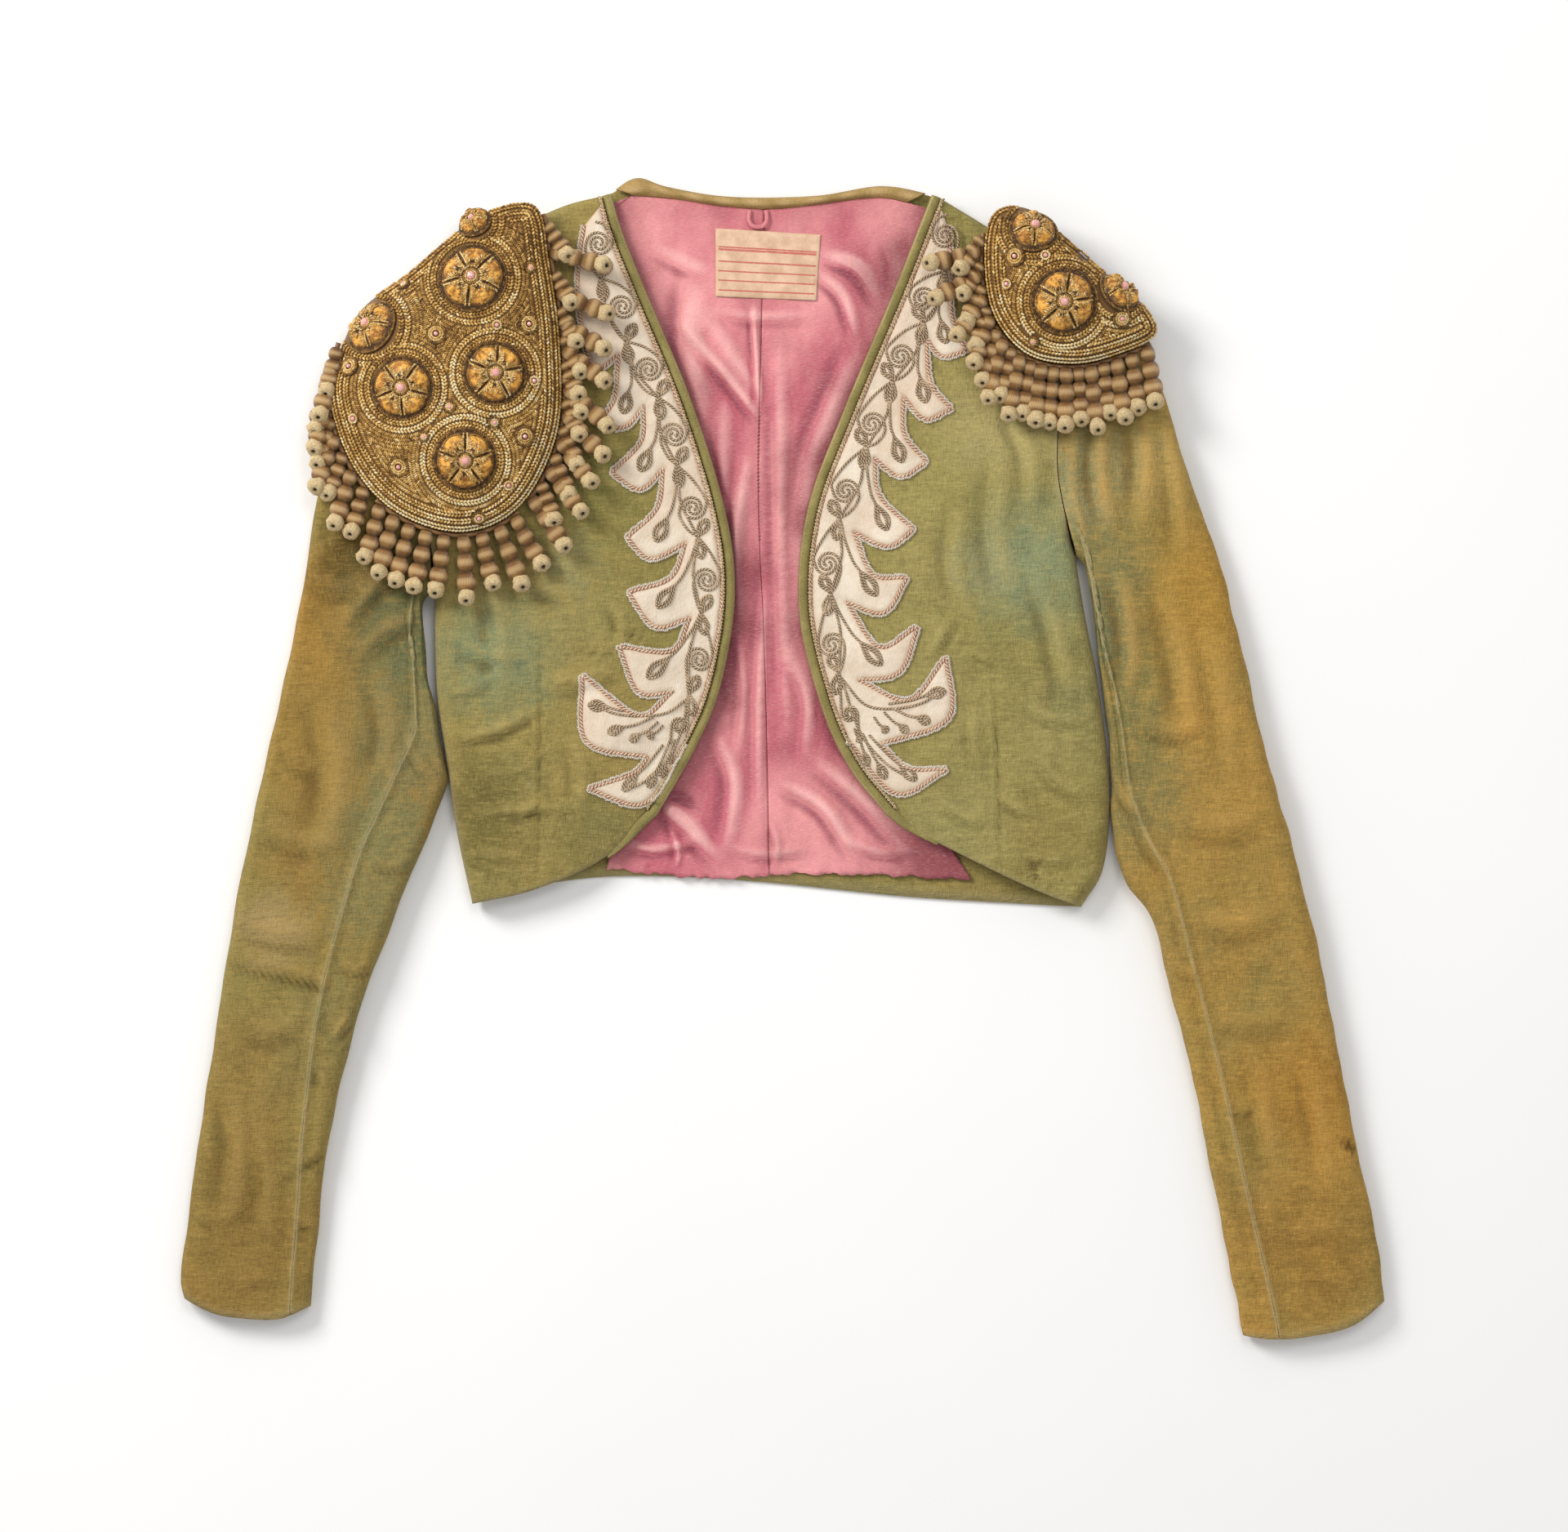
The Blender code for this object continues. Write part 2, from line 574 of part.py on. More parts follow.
def flat_piece(name, outline, thickness, colour):
    """A small flat piece sewn on the lining."""
    floor = LINING_TOP + GAP
    top = floor + thickness
    return plate(name, plan(outline), FLAT_SPACING, lambda x, y: floor, lambda x, y: top, colour)


def epaulette_dome(outline, centre, fold_bearing, fold_spread):
    """The height of an epaulette's upper face over a plan point, and its outline's radius by bearing."""
    middle = plan(centre)
    ring = curve(outline, closed=True)
    bearings = np.unwrap(np.arctan2(ring[:, 1] - middle[1], ring[:, 0] - middle[0]))
    radii = np.linalg.norm(ring - middle, axis=1)
    if bearings[-1] < bearings[0]:
        bearings, radii = bearings[::-1], radii[::-1]

    def radius(bearing):
        return np.interp((bearing - bearings[0]) % (2 * math.pi) + bearings[0], bearings, radii)

    def place(x, y):
        """The part of the way to the rim, and how far the rim is folded over the shoulder there."""
        bearing = math.atan2(y - middle[1], x - middle[0])
        off = abs((bearing - fold_bearing + math.pi) % (2 * math.pi) - math.pi)
        return math.hypot(x - middle[0], y - middle[1]) / radius(bearing), float(ease(1 - off / fold_spread))

    def height(x, y, braided=True):
        part, folded = place(x, y)
        rim = EPAULETTE_RIM + (EPAULETTE_FOLD_RIM - EPAULETTE_RIM) * folded
        if part >= 1:
            return rim - (part - 1) * 0.4
        power = 2.2 + 0.8 * folded
        z = rim + (EPAULETTE_CROWN - rim) * (1 - part**power) ** 0.62
        if braided:
            low, high = BRAID_BAND
            z += BRAID_HEIGHT * float(ease((part - low) / 0.03) * ease((high - part) / 0.03))
        return z

    def seat(x, y):
        """The height of the underside: level on the shoulder, and turned down with the fold."""
        part, folded = place(x, y)
        turned = float(ease((part - EPAULETTE_TURN_STARTS) / (1 - EPAULETTE_TURN_STARTS)))
        return EPAULETTE_SEAT - EPAULETTE_TURN * folded * turned

    return middle, radius, height, seat


def slope_normal(height, x, y):
    step = 0.4 * MM
    dx = (height(x + step, y) - height(x - step, y)) / (2 * step)
    dy = (height(x, y + step) - height(x, y - step)) / (2 * step)
    normal = Vector((-dx, -dy, 1))
    return np.array(normal.normalized())


def epaulette(name, dome, gold):
    """A stiff padded cap, level below, with the raised band of braid round it."""
    middle, radius, height, seat = dome
    parts = [0, 0.3, 0.55, 0.72, 0.79, 0.84, 0.92, 0.97, 1.0]
    bearings = np.linspace(0, 2 * math.pi, 29)
    outer = np.zeros((len(parts), len(bearings), 3))
    inner = np.zeros_like(outer)
    for i, part in enumerate(parts):
        for j, bearing in enumerate(bearings):
            reach = radius(bearing) * part
            x = middle[0] + reach * math.cos(bearing)
            y = middle[1] + reach * math.sin(bearing)
            outer[i, j] = (x, y, height(x, y))
            inner[i, j] = (x, y, seat(x, y))
    return ring_wall(name, outer, inner, gold)


def ring_wall(name, outer, inner, colour):
    """A cap between two polar grids that start at a common centre and end at a rim."""
    rows, columns = outer.shape[:2]
    columns -= 1
    points = [outer[0, 0], inner[0, 0]]
    top = np.zeros((rows, columns), int)
    low = np.zeros((rows, columns), int)
    for i in range(1, rows):
        for j in range(columns):
            top[i, j] = len(points)
            low[i, j] = len(points) + 1
            points += [outer[i, j], inner[i, j]]
    faces = []
    for j in range(columns):
        k = (j + 1) % columns
        faces.append((0, top[1, j], top[1, k]))
        faces.append((1, low[1, k], low[1, j]))
        for i in range(1, rows - 1):
            faces.append((top[i, j], top[i + 1, j], top[i + 1, k], top[i, k]))
            faces.append((low[i, j], low[i, k], low[i + 1, k], low[i + 1, j]))
        faces.append((top[rows - 1, j], low[rows - 1, j], low[rows - 1, k], top[rows - 1, k]))
    return solid(name, points, faces, colour)


def rosette(name, centre, radius, dome, cap, leather):
    """A padded flower of leather petals on the cap: its base follows the cap, its top rises to a stone."""
    height = dome[2]
    x, y = plan(centre)
    top = np.array((x, y, height(x, y)))
    normal = slope_normal(lambda a, b: height(a, b, False), x, y)
    side = np.cross(normal, (0, 0, 1)) if abs(normal[2]) < 0.99 else np.array((1.0, 0, 0))
    side /= np.linalg.norm(side)
    up = np.cross(side, normal)
    parts = [0, 0.2, 0.32, 0.66, 0.9, 1.0]
    rises = [0.95, 0.95, 0.66, 1.0, 0.70, 0.30]
    columns = PETAL_STEPS * PETALS
    outer = np.zeros((len(parts), columns + 1, 3))
    inner = np.zeros_like(outer)
    for i, (part, rise) in enumerate(zip(parts, rises)):
        for j in range(columns + 1):
            angle = 2 * math.pi * j / columns
            petal = 1 - 0.25 * (j % PETAL_STEPS == 0) * (0.5 < part < 1)
            spoke = radius * part * (math.cos(angle) * side + math.sin(angle) * up)
            around = [0, side, -side, up, -up]
            depth = min(cap_depth(top + spoke + way * CAP_STEP, normal, cap) for way in around)
            inner[i, j] = top + spoke - normal * (depth - PADDED_GAP)
            outer[i, j] = top + spoke - normal * (0.55 * depth - PADDED_GAP - ROSETTE_HEIGHT * rise * petal)
    return ring_wall(name, outer, inner, leather)


def cap_depth(point, normal, cap):
    """How far below a point the cap lies, along a normal."""
    above = 6 * MM
    hit = cap.ray_cast(Vector(point + normal * above), Vector(-normal))
    return min(hit[3] - above, CAP_REACH) if hit[0] else CAP_REACH


def strand(root, tip, material_used, name):
    """One beaded strand: three wound barrels and a tuft, with flat sides."""
    start, end = np.array(root), np.array(tip)
    ahead = (end - start) / np.linalg.norm(end - start)
    side = np.cross(ahead, (0, 0, 1))
    side /= np.linalg.norm(side)
    up = np.cross(side, ahead)
    points, faces = [], []
    for part, radius in STRAND_PROFILE:
        for k in range(STRAND_SIDES):
            angle = 2 * math.pi * k / STRAND_SIDES + math.pi / 2
            spoke = radius * MM * (math.cos(angle) * side + math.sin(angle) * up)
            points.append(start + (end - start) * part + spoke)
    for i in range(len(STRAND_PROFILE) - 1):
        for k in range(STRAND_SIDES):
            a, b = i * STRAND_SIDES + k, i * STRAND_SIDES + (k + 1) % STRAND_SIDES
            faces.append((a, b, b + STRAND_SIDES, a + STRAND_SIDES))
    last = (len(STRAND_PROFILE) - 1) * STRAND_SIDES
    faces += [tuple(range(STRAND_SIDES))[::-1], tuple(range(last, last + STRAND_SIDES))]
    return solid(name, points, faces, material_used)


def fringe(name, dome, first, last, count, short, long, silk):
    """A stretch of fringe: strands that spread from a narrow strip beside the cap's rim."""
    middle, radius = dome[:2]
    bearings = np.radians(np.linspace(first, last, count))
    lead = np.radians(last - first) / count * 0.25
    strip_radius = 1.6 * MM
    clear = 2.2 * MM
    strip_height = EPAULETTE_RIM - 1.0 * MM
    ring = []
    for bearing in np.linspace(bearings[0] - lead, bearings[-1] + lead, count + 3):
        reach = radius(bearing) + clear
        ring.append(middle + reach * np.array((math.cos(bearing), math.sin(bearing))))
    ring = np.array(ring)
    ahead = np.gradient(ring, axis=0)
    ahead /= np.linalg.norm(ahead, axis=1)[:, None]
    out = np.stack((ahead[:, 1], -ahead[:, 0]), axis=1)
    if np.dot(out[0], ring[0] - middle) < 0:
        out = -out
    corners = [(-1, -1), (1, -1), (1, 1), (-1, 1)]
    points, faces = [], []
    for here, outward in zip(ring, out):
        for sideways, rise in corners:
            x, y = here + outward * sideways * strip_radius
            points.append((x, y, strip_height + rise * strip_radius))
    for i in range(len(ring) - 1):
        for k in range(4):
            a, b = 4 * i + k, 4 * i + (k + 1) % 4
            faces.append((a, b, b + 4, a + 4))
    end = 4 * (len(ring) - 1)
    faces += [(3, 2, 1, 0), (end, end + 1, end + 2, end + 3)]
    strip = solid(name, points, faces, silk)
    group = bpy.data.collections.new(name + "_strands")
    strands = []
    for order, bearing in enumerate(bearings):
        reach = radius(bearing) + clear
        root = middle + reach * np.array((math.cos(bearing), math.sin(bearing)))
        nearest = np.argmin(np.linalg.norm(ring - root, axis=1))
        fall = np.array((0.0, -0.35)) * max(0.0, -math.sin(bearing))
        way = out[nearest] + fall
        way /= np.linalg.norm(way)
        length = (short + (long - short) * (order % 2) + 2.5 * math.sin(2.3 * order)) * MM
        tip = root + way * length
        layer = (order % 2) * 1.4 * MM
        strands.append(
            strand(
                (*root, strip_height),
                (*tip, FRINGE_BED + 5.6 * MM + layer),
                silk,
                f"{name}_{order}",
            )
        )
    for piece in strands:
        bpy.context.scene.collection.objects.unlink(piece)
        group.objects.link(piece)
    union = strip.modifiers.new("fuse", "BOOLEAN")
    union.operation = "UNION"
    union.operand_type = "COLLECTION"
    union.collection = group
    union.solver = "EXACT"
    union.use_self = True
    bake(strip)
    for piece in strands:
        bpy.data.objects.remove(piece, do_unlink=True)
    bpy.data.collections.remove(group)
    return strip


def bake(made):
    """Replaces an object's mesh by what its modifiers make of it."""
    graph = bpy.context.evaluated_depsgraph_get()
    mesh = bpy.data.meshes.new_from_object(made.evaluated_get(graph))
    made.modifiers.clear()
    made.data = mesh


def body(velvet):
    left_side, left_armhole = curve(LEFT_SIDE), curve(LEFT_ARMHOLE)
    right_side, right_armhole = curve(RIGHT_SIDE), curve(RIGHT_ARMHOLE)
    left_opening, right_opening = curve(LEFT_OPENING), curve(RIGHT_OPENING)
    left_shoulder, right_shoulder = curve(LEFT_SHOULDER), curve(RIGHT_SHOULDER)
    cord_gap = BINDING_WIDTH + 1.5 * GAP
    left_panel_edge = shifted(left_opening, cord_gap)
    right_panel_edge = shifted(right_opening, -cord_gap)
    left_low = meeting(curve(LEFT_HEM), left_panel_edge[0])
    left_high = meeting(left_shoulder, left_panel_edge[-1])
    right_low = meeting(curve(RIGHT_HEM)[::-1], right_panel_edge[0])
    right_high = meeting(right_shoulder[::-1], right_panel_edge[-1])
    left_panel = front("front_left", left_panel_edge, left_side, left_armhole, left_low, left_high, velvet)
    right_panel = front(
        "front_right", right_panel_edge, right_side, right_armhole, right_low, right_high, velvet
    )
    neck = curve(NECK)
    hem = curve(BACK_HEM)
    top = joined(left_shoulder, neck, right_shoulder)
    half_hems = along(hem, np.linspace(0, 0.5, 60)), along(hem, np.linspace(1, 0.5, 60))
    half_tops = along(top, np.linspace(0, 0.5, 60)), along(top, np.linspace(1, 0.5, 60))
    back(
        velvet,
        (left_side, left_armhole, half_hems[0], half_tops[0]),
        (right_side, right_armhole, half_hems[1], half_tops[1]),
        hem,
        top,
    )
    return left_opening, right_opening, left_panel, right_panel


def meeting(line, end):
    """A curve whose last point is moved to another, with the rest following in proportion."""
    part = np.linspace(0, 1, len(line))[:, None]
    return line + (end - line[-1]) * part**3


def neck_binding(velvet):
    """The bound neck edge: a roll that stands on the back's top edge."""
    parts = np.linspace(0, 1, 18)
    high = along(shifted(curve(NECK), -0.4 * MM), 0.02 + 0.96 * parts)
    low = along(curve(NECK_LOWER), 0.02 + 0.96 * parts)
    across = np.linspace(0, 1, 4)[None, :, None]
    ground = high[:, None, :] + (low - high)[:, None, :] * across
    roll = np.repeat(np.array([[4.4, 7.6, 7.2, 4.6]]) * MM, len(high), axis=0)
    floor = np.full_like(roll, VELVET_WALL + GAP)
    return wall("neck_binding", np.dstack((ground, roll)), np.dstack((ground, floor)), velvet)


def main():
    clear_scene()
    velvet = material("faded_green_velvet", (0.21, 0.18, 0.07), 0.9)
    edging = material("pale_velvet_binding", (0.35, 0.28, 0.12), 0.85)
    pink = material("pink_satin", (0.75, 0.28, 0.30), 0.4)
    ivory = material("ivory_silk", (0.72, 0.62, 0.45), 0.6)
    gold = material("gold_embroidery", (0.42, 0.28, 0.10), 0.45, 0.4)
    leather = material("amber_petals", (0.55, 0.27, 0.06), 0.5)
    silk = material("bronze_silk_beads", (0.36, 0.22, 0.10), 0.6)

    left_opening, right_opening, left_panel, right_panel = body(velvet)
    seam_gap = 2 * GAP
    sleeve(
        "left", curve(LEFT_SLEEVE_OUTER), curve(LEFT_SLEEVE_INNER),
        shifted(curve(LEFT_ARMHOLE)[::-1], -seam_gap), curve(LEFT_CUFF), LEFT_SLEEVE_SEAM, velvet,
    )
    sleeve(
        "right", curve(RIGHT_SLEEVE_OUTER), curve(RIGHT_SLEEVE_INNER),
        shifted(curve(RIGHT_ARMHOLE)[::-1], seam_gap), curve(RIGHT_CUFF), RIGHT_SLEEVE_SEAM, velvet,
    )
    binding("edge_binding_left", left_opening, BINDING_WIDTH, surface_under(left_panel), edging)
    binding("edge_binding_right", right_opening, -BINDING_WIDTH, surface_under(right_panel), edging)
    neck_binding(edging)
    lining("lining_left", left_opening, LINING_UNDER, -1, pink)
    lining("lining_right", right_opening, -LINING_UNDER, 1, pink)
    left_band_edge = shifted(left_opening, BINDING_WIDTH + 3 * GAP)
    right_band_edge = shifted(right_opening, -BINDING_WIDTH - 3 * GAP)
    applique("applique_left", LEFT_LOBE_START, LEFT_LOBES, left_band_edge, left_panel, ivory)
    applique("applique_right", RIGHT_LOBE_START, RIGHT_LOBES, right_band_edge, right_panel, ivory)
    flat_piece("label", LABEL, LABEL_WALL, ivory)
    flat_piece("hanger_loop", HANGER_LOOP, 2 * LABEL_WALL, pink)

    domes = {
        "left": epaulette_dome(LEFT_EPAULETTE, LEFT_EPAULETTE_CENTRE, math.radians(140), math.radians(64)),
        "right": epaulette_dome(RIGHT_EPAULETTE, RIGHT_EPAULETTE_CENTRE, math.radians(48), math.radians(75)),
    }
    for side, rosettes in ("left", LEFT_ROSETTES), ("right", RIGHT_ROSETTES):
        cap = tree_of(epaulette(f"epaulette_{side}", domes[side], gold))
        for number, (centre, radius) in enumerate(rosettes, 1):
            rosette(f"rosette_{side}_{number}", centre, radius * MM, domes[side], cap, leather)
    for name, side, first, last, count, short, long in FRINGES:
        fringe(name, domes[side], first, last, count, short, long, silk)


main()
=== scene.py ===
# A short matador jacket of faded moss green velvet, laid open on its back on a pale table.
import math

import bmesh
import bpy
import numpy as np
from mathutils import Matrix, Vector
from mathutils.bvhtree import BVHTree
from mathutils.geometry import delaunay_2d_cdt


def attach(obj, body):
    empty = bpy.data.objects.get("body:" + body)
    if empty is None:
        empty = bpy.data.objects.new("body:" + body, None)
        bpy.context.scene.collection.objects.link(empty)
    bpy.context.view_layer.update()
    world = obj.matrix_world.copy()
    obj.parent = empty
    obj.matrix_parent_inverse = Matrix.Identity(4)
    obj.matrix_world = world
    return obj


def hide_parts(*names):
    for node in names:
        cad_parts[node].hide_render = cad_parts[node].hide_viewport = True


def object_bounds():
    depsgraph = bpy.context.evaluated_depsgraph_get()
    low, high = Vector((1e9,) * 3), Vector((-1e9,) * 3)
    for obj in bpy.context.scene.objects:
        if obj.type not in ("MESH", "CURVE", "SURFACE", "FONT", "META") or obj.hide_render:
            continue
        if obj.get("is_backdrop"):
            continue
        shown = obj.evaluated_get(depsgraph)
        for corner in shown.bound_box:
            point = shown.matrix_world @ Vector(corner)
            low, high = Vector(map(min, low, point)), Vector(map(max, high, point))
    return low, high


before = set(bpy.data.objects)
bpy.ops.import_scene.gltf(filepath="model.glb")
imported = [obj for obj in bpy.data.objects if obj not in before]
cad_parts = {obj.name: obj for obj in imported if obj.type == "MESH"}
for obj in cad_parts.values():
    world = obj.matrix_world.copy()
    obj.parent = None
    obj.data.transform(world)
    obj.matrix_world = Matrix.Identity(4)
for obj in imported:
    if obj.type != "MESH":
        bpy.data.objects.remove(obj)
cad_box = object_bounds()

# Table, camera and lamps. The jacket lies on a smooth white table and is seen from straight above.
# One large soft lamp stands at the upper left, and a weaker one nearly overhead.
scene = bpy.context.scene
scene.view_settings.view_transform = "Standard"
camera = bpy.data.objects.new("camera", bpy.data.cameras.new("camera"))
camera.location = (.0011, -.00495, 4.015)
camera.data.lens = 136.4
camera.data.sensor_width = 36
scene.collection.objects.link(camera)
scene.camera = camera


def lamp(name, place, size, power, colour):
    data = bpy.data.lights.new(name, "AREA")
    data.size = size
    data.energy = power
    data.color = colour
    light = bpy.data.objects.new(name, data)
    light.location = place
    light.rotation_euler = (-Vector(place)).to_track_quat("-Z", "Y").to_euler()
    scene.collection.objects.link(light)


lamp("key_lamp", (-1.9, 1.5, 1.9), 1.1, 62, (1, .98, .95))
lamp("top_lamp", (.6, 1.1, 3.2), 1.2, 20, (1, .99, .98))
scene.world = bpy.data.worlds.new("white_room")
scene.world.use_nodes = True
scene.world.node_tree.nodes["Background"].inputs["Color"].default_value = (1, 1, 1, 1)
scene.world.node_tree.nodes["Background"].inputs["Strength"].default_value = .56


class Dye:
    """A socket of a material. Maths on it adds Math nodes, and node() adds any other node."""

    def __init__(self, tree, socket=None):
        self.tree = tree
        self.socket = socket

    def node(self, kind, settings, inputs, output=0):
        node = self.tree.nodes.new("ShaderNode" + kind)
        for name, value in settings.items():
            if name == "stops":
                stops = node.color_ramp.elements
                stops[0].position = value[0][0]
                stops[1].position = value[-1][0]
                for place, colour in value[1:-1]:
                    stops.new(place)
                for stop, (place, colour) in zip(stops, value):
                    stop.color = (*colour, 1)
            else:
                setattr(node, name, value)
        for name, value in inputs.items():
            socket = node.inputs[name]
            if isinstance(value, Dye):
                self.tree.links.new(value.socket, socket)
            elif socket.type == "RGBA":
                socket.default_value = (*value, 1)
            else:
                socket.default_value = value
        return Dye(self.tree, node.outputs[output])

    def sum(self, operation, first, second, clamp=False):
        return self.node("Math", {"operation": operation, "use_clamp": clamp}, {0: first, 1: second})

    def __add__(self, other):
        return self.sum("ADD", self, other)

    def __sub__(self, other):
        return self.sum("SUBTRACT", self, other)

    def __rsub__(self, other):
        return self.sum("SUBTRACT", other, self)

    def __mul__(self, other):
        return self.sum("MULTIPLY", self, other)

    def __rmul__(self, other):
        return self.sum("MULTIPLY", other, self)

    def clear(self, low, high):
        """0 below low, 1 above high."""
        return self.sum("MULTIPLY", self - low, 1 / (high - low), True)

    def mix(self, first, second):
        return self.node("Mix", {"data_type": "RGBA"}, {0: self, 6: first, 7: second}, 2)

    def place(self):
        return self.node("TexCoord", {}, {}, 3)

    def cloud(self, where, stretch, detail=3, rough=.55):
        """Noise with so many blotches to a metre along x, y and z."""
        spread = self.node("VectorMath", {"operation": "MULTIPLY"}, {0: where, 1: stretch})
        return self.node("TexNoise", {}, {"Vector": spread, "Scale": 1, "Detail": detail, "Roughness": rough})

    def note(self, name):
        """A number that the mesh carries at its points."""
        return self.node("Attribute", {"attribute_name": name}, {}, 2)


def finished(name, colour, rough, relief=None, depth=.001, **fixed):
    """A material from its colour, roughness and bump, each given as a function of a Dye."""
    made = bpy.data.materials.new(name)
    made.use_nodes = True
    tree = made.node_tree
    surface = tree.nodes["Principled BSDF"]
    dye = Dye(tree)
    tree.links.new(colour(dye).socket, surface.inputs["Base Color"])
    tree.links.new(rough(dye).socket, surface.inputs["Roughness"])
    if relief:
        bump = dye.node("Bump", {}, {"Height": relief(dye), "Distance": depth, "Strength": 1})
        tree.links.new(bump.socket, surface.inputs["Normal"])
    for socket, value in fixed.items():
        surface.inputs[socket.replace("_", " ")].default_value = value
    return made


def piece(name, points, faces, finish, slot, replaces=(), notes=None, smooth=True):
    """A closed mesh that rides on the jacket, with its finish. Its slot is not used."""
    mesh = bpy.data.meshes.new(name)
    mesh.from_pydata(np.asarray(points).tolist(), [], [list(face) for face in faces])
    shape = bmesh.new()
    shape.from_mesh(mesh)
    bmesh.ops.recalc_face_normals(shape, faces=shape.faces)
    shape.to_mesh(mesh)
    shape.free()
    for label, values in (notes or {}).items():
        mesh.attributes.new(label, "FLOAT", "POINT").data.foreach_set("value", np.asarray(values, "f"))
    mesh.polygons.foreach_set("use_smooth", [smooth] * len(mesh.polygons))
    mesh.materials.append(finish)
    made = bpy.data.objects.new("worn_" + name, mesh)
    scene.collection.objects.link(made)
    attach(made, "root")
    if replaces:
        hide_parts(*replaces)
    return made


table = bpy.data.meshes.new("table")
table.from_pydata([(-6, -6, -.0005), (6, -6, -.0005), (6, 6, -.0005), (-6, 6, -.0005)], [], [(0, 1, 2, 3)])
table.materials.append(finished("table_white",
    lambda dye: dye.cloud(dye.place(), (3, 3, 3)).mix((.93, .93, .93), (.97, .97, .97)),
    lambda dye: dye.cloud(dye.place(), (40, 40, 40)) * .1 + .6))
tabletop = bpy.data.objects.new("table", table)
scene.collection.objects.link(tabletop)
tabletop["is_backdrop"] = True


# Fronts. Each front is one piece of short cotton velvet, joined at the side, shoulder and armhole.
# It lies flat over the back, rounds down at the side seam, and its pile is rubbed ochre in places.
MM = .001
STEP = .55 * MM
BODY_TOP = 20 * MM
OPENING_TOP = 13 * MM
OPENING_SLOPE = 95 * MM
SEAM_HEIGHT = 9 * MM
FOLD_RADIUS = 11 * MM
UNDERARM_TURN = 45 * MM
GAP = .3 * MM
VELVET = 2 * MM
BINDING_WIDTH = 6.8 * MM


def plan(marks):
    """Places on the jacket, in metres, of marks set out on a 1920 by 1876 drawing of it."""
    marks = np.asarray(marks, float)
    return np.stack(((marks[..., 0] - 958) * STEP, (929 - marks[..., 1]) * STEP), -1)


def curve(knots, closed=False, steps=20):
    knots = np.asarray(knots, float)
    if closed:
        knots = np.vstack((knots[-1:], knots, knots[:2]))
    else:
        knots = np.vstack((2 * knots[0] - knots[1], knots, 2 * knots[-1] - knots[-2]))
    t = np.linspace(0, 1, steps, endpoint=False)[:, None]
    line = []
    for a, b, c, d in zip(knots, knots[1:], knots[2:], knots[3:]):
        bend = (2 * a - 5 * b + 4 * c - d) * t ** 2 + (3 * b - a - 3 * c + d) * t ** 3
        line.append(.5 * (2 * b + (c - a) * t + bend))
    return np.vstack(line + ([] if closed else [knots[-2:-1]]))


def lengths(line):
    return np.concatenate(([0], np.cumsum(np.linalg.norm(np.diff(line, axis=0), axis=1))))


def along(line, parts):
    run = lengths(line)
    parts = np.asarray(parts) * run[-1]
    return np.stack([np.interp(parts, run, line[:, axis]) for axis in range(line.shape[1])], -1)


def shifted(line, distance):
    way = np.gradient(line, axis=0)
    way /= np.linalg.norm(way, axis=1)[:, None]
    return line + distance * np.stack((-way[:, 1], way[:, 0]), -1)


def joined(*lines):
    return np.vstack([lines[0]] + [line[1:] for line in lines[1:]])


def meeting(line, end):
    return line + (end - line[-1]) * (np.linspace(0, 1, len(line)) ** 3)[:, None]


def ease(part):
    part = np.clip(part, 0, 1)
    return part * part * (3 - 2 * part)


def patch(left, right, low, high, across, up):
    """A sheet spread between four edge lines."""
    u = across[..., None]
    v = up[:, None, None]
    sides = (1 - u) * along(left, up)[:, None] + u * along(right, up)[:, None]
    ends = (1 - v) * along(low, across) + v * along(high, across)
    corners = ((1 - u) * (1 - v) * left[0] + u * (1 - v) * right[0] + (1 - u) * v * left[-1] +
               u * v * right[-1])
    return sides + ends - corners


def creases(spots, folds):
    """Height of soft folds. Each is a line of marks, then its half width and height in millimetres.
    A fold is steeper on the side that turns from the light."""
    total = np.zeros(spots.shape[:-1])
    flat = spots[..., :2].reshape(-1, 2)
    for *marks, width, height in folds:
        line = curve(plan(marks))
        way = np.gradient(line, axis=0)
        way /= np.linalg.norm(way, axis=1)[:, None]
        width *= .8
        reach = 4 * width * MM
        near = np.all((flat > line.min(0) - reach) & (flat < line.max(0) + reach), axis=1)
        gap = flat[near][:, None] - line[None]
        closest = np.argmin((gap ** 2).sum(-1), axis=1)
        gap = gap[np.arange(len(closest)), closest]
        side = way[closest, 0] * gap[:, 1] - way[closest, 1] * gap[:, 0]
        distance = np.hypot(gap[:, 0], gap[:, 1]) / (width * MM)
        taper = np.sin(np.pi * (.04 + .92 * closest / (len(line) - 1))) ** .7
        beside = (side / (width * MM) + 1.5) ** 2 + np.maximum(distance ** 2 - (side / (width * MM)) ** 2, 0)
        rise = taper * height * MM * (np.exp(-distance ** 2) - .55 * np.exp(-beside * 1.3))
        total.reshape(-1)[near] += rise
    return total


def ripple(spots, size, height, seed):
    """Slight unevenness of laid cloth, from waves that lie in many directions."""
    draw = np.random.default_rng(seed)
    total = np.zeros(spots.shape[:-1])
    for turn, phase, scale in zip(draw.uniform(0, 2 * np.pi, 9), draw.uniform(0, 2 * np.pi, 9),
                                  draw.uniform(.6, 1.7, 9)):
        wave = 2 * np.pi / (size * MM * scale)
        total += np.sin(wave * (spots[..., 0] * math.cos(turn) + spots[..., 1] * math.sin(turn)) + phase)
    return total * height * MM / 4


def normals_of(grid):
    across = np.gradient(grid, axis=1)
    upward = np.gradient(grid, axis=0)
    normal = np.cross(across, upward)
    return normal / np.maximum(np.linalg.norm(normal, axis=-1), 1e-12)[..., None]


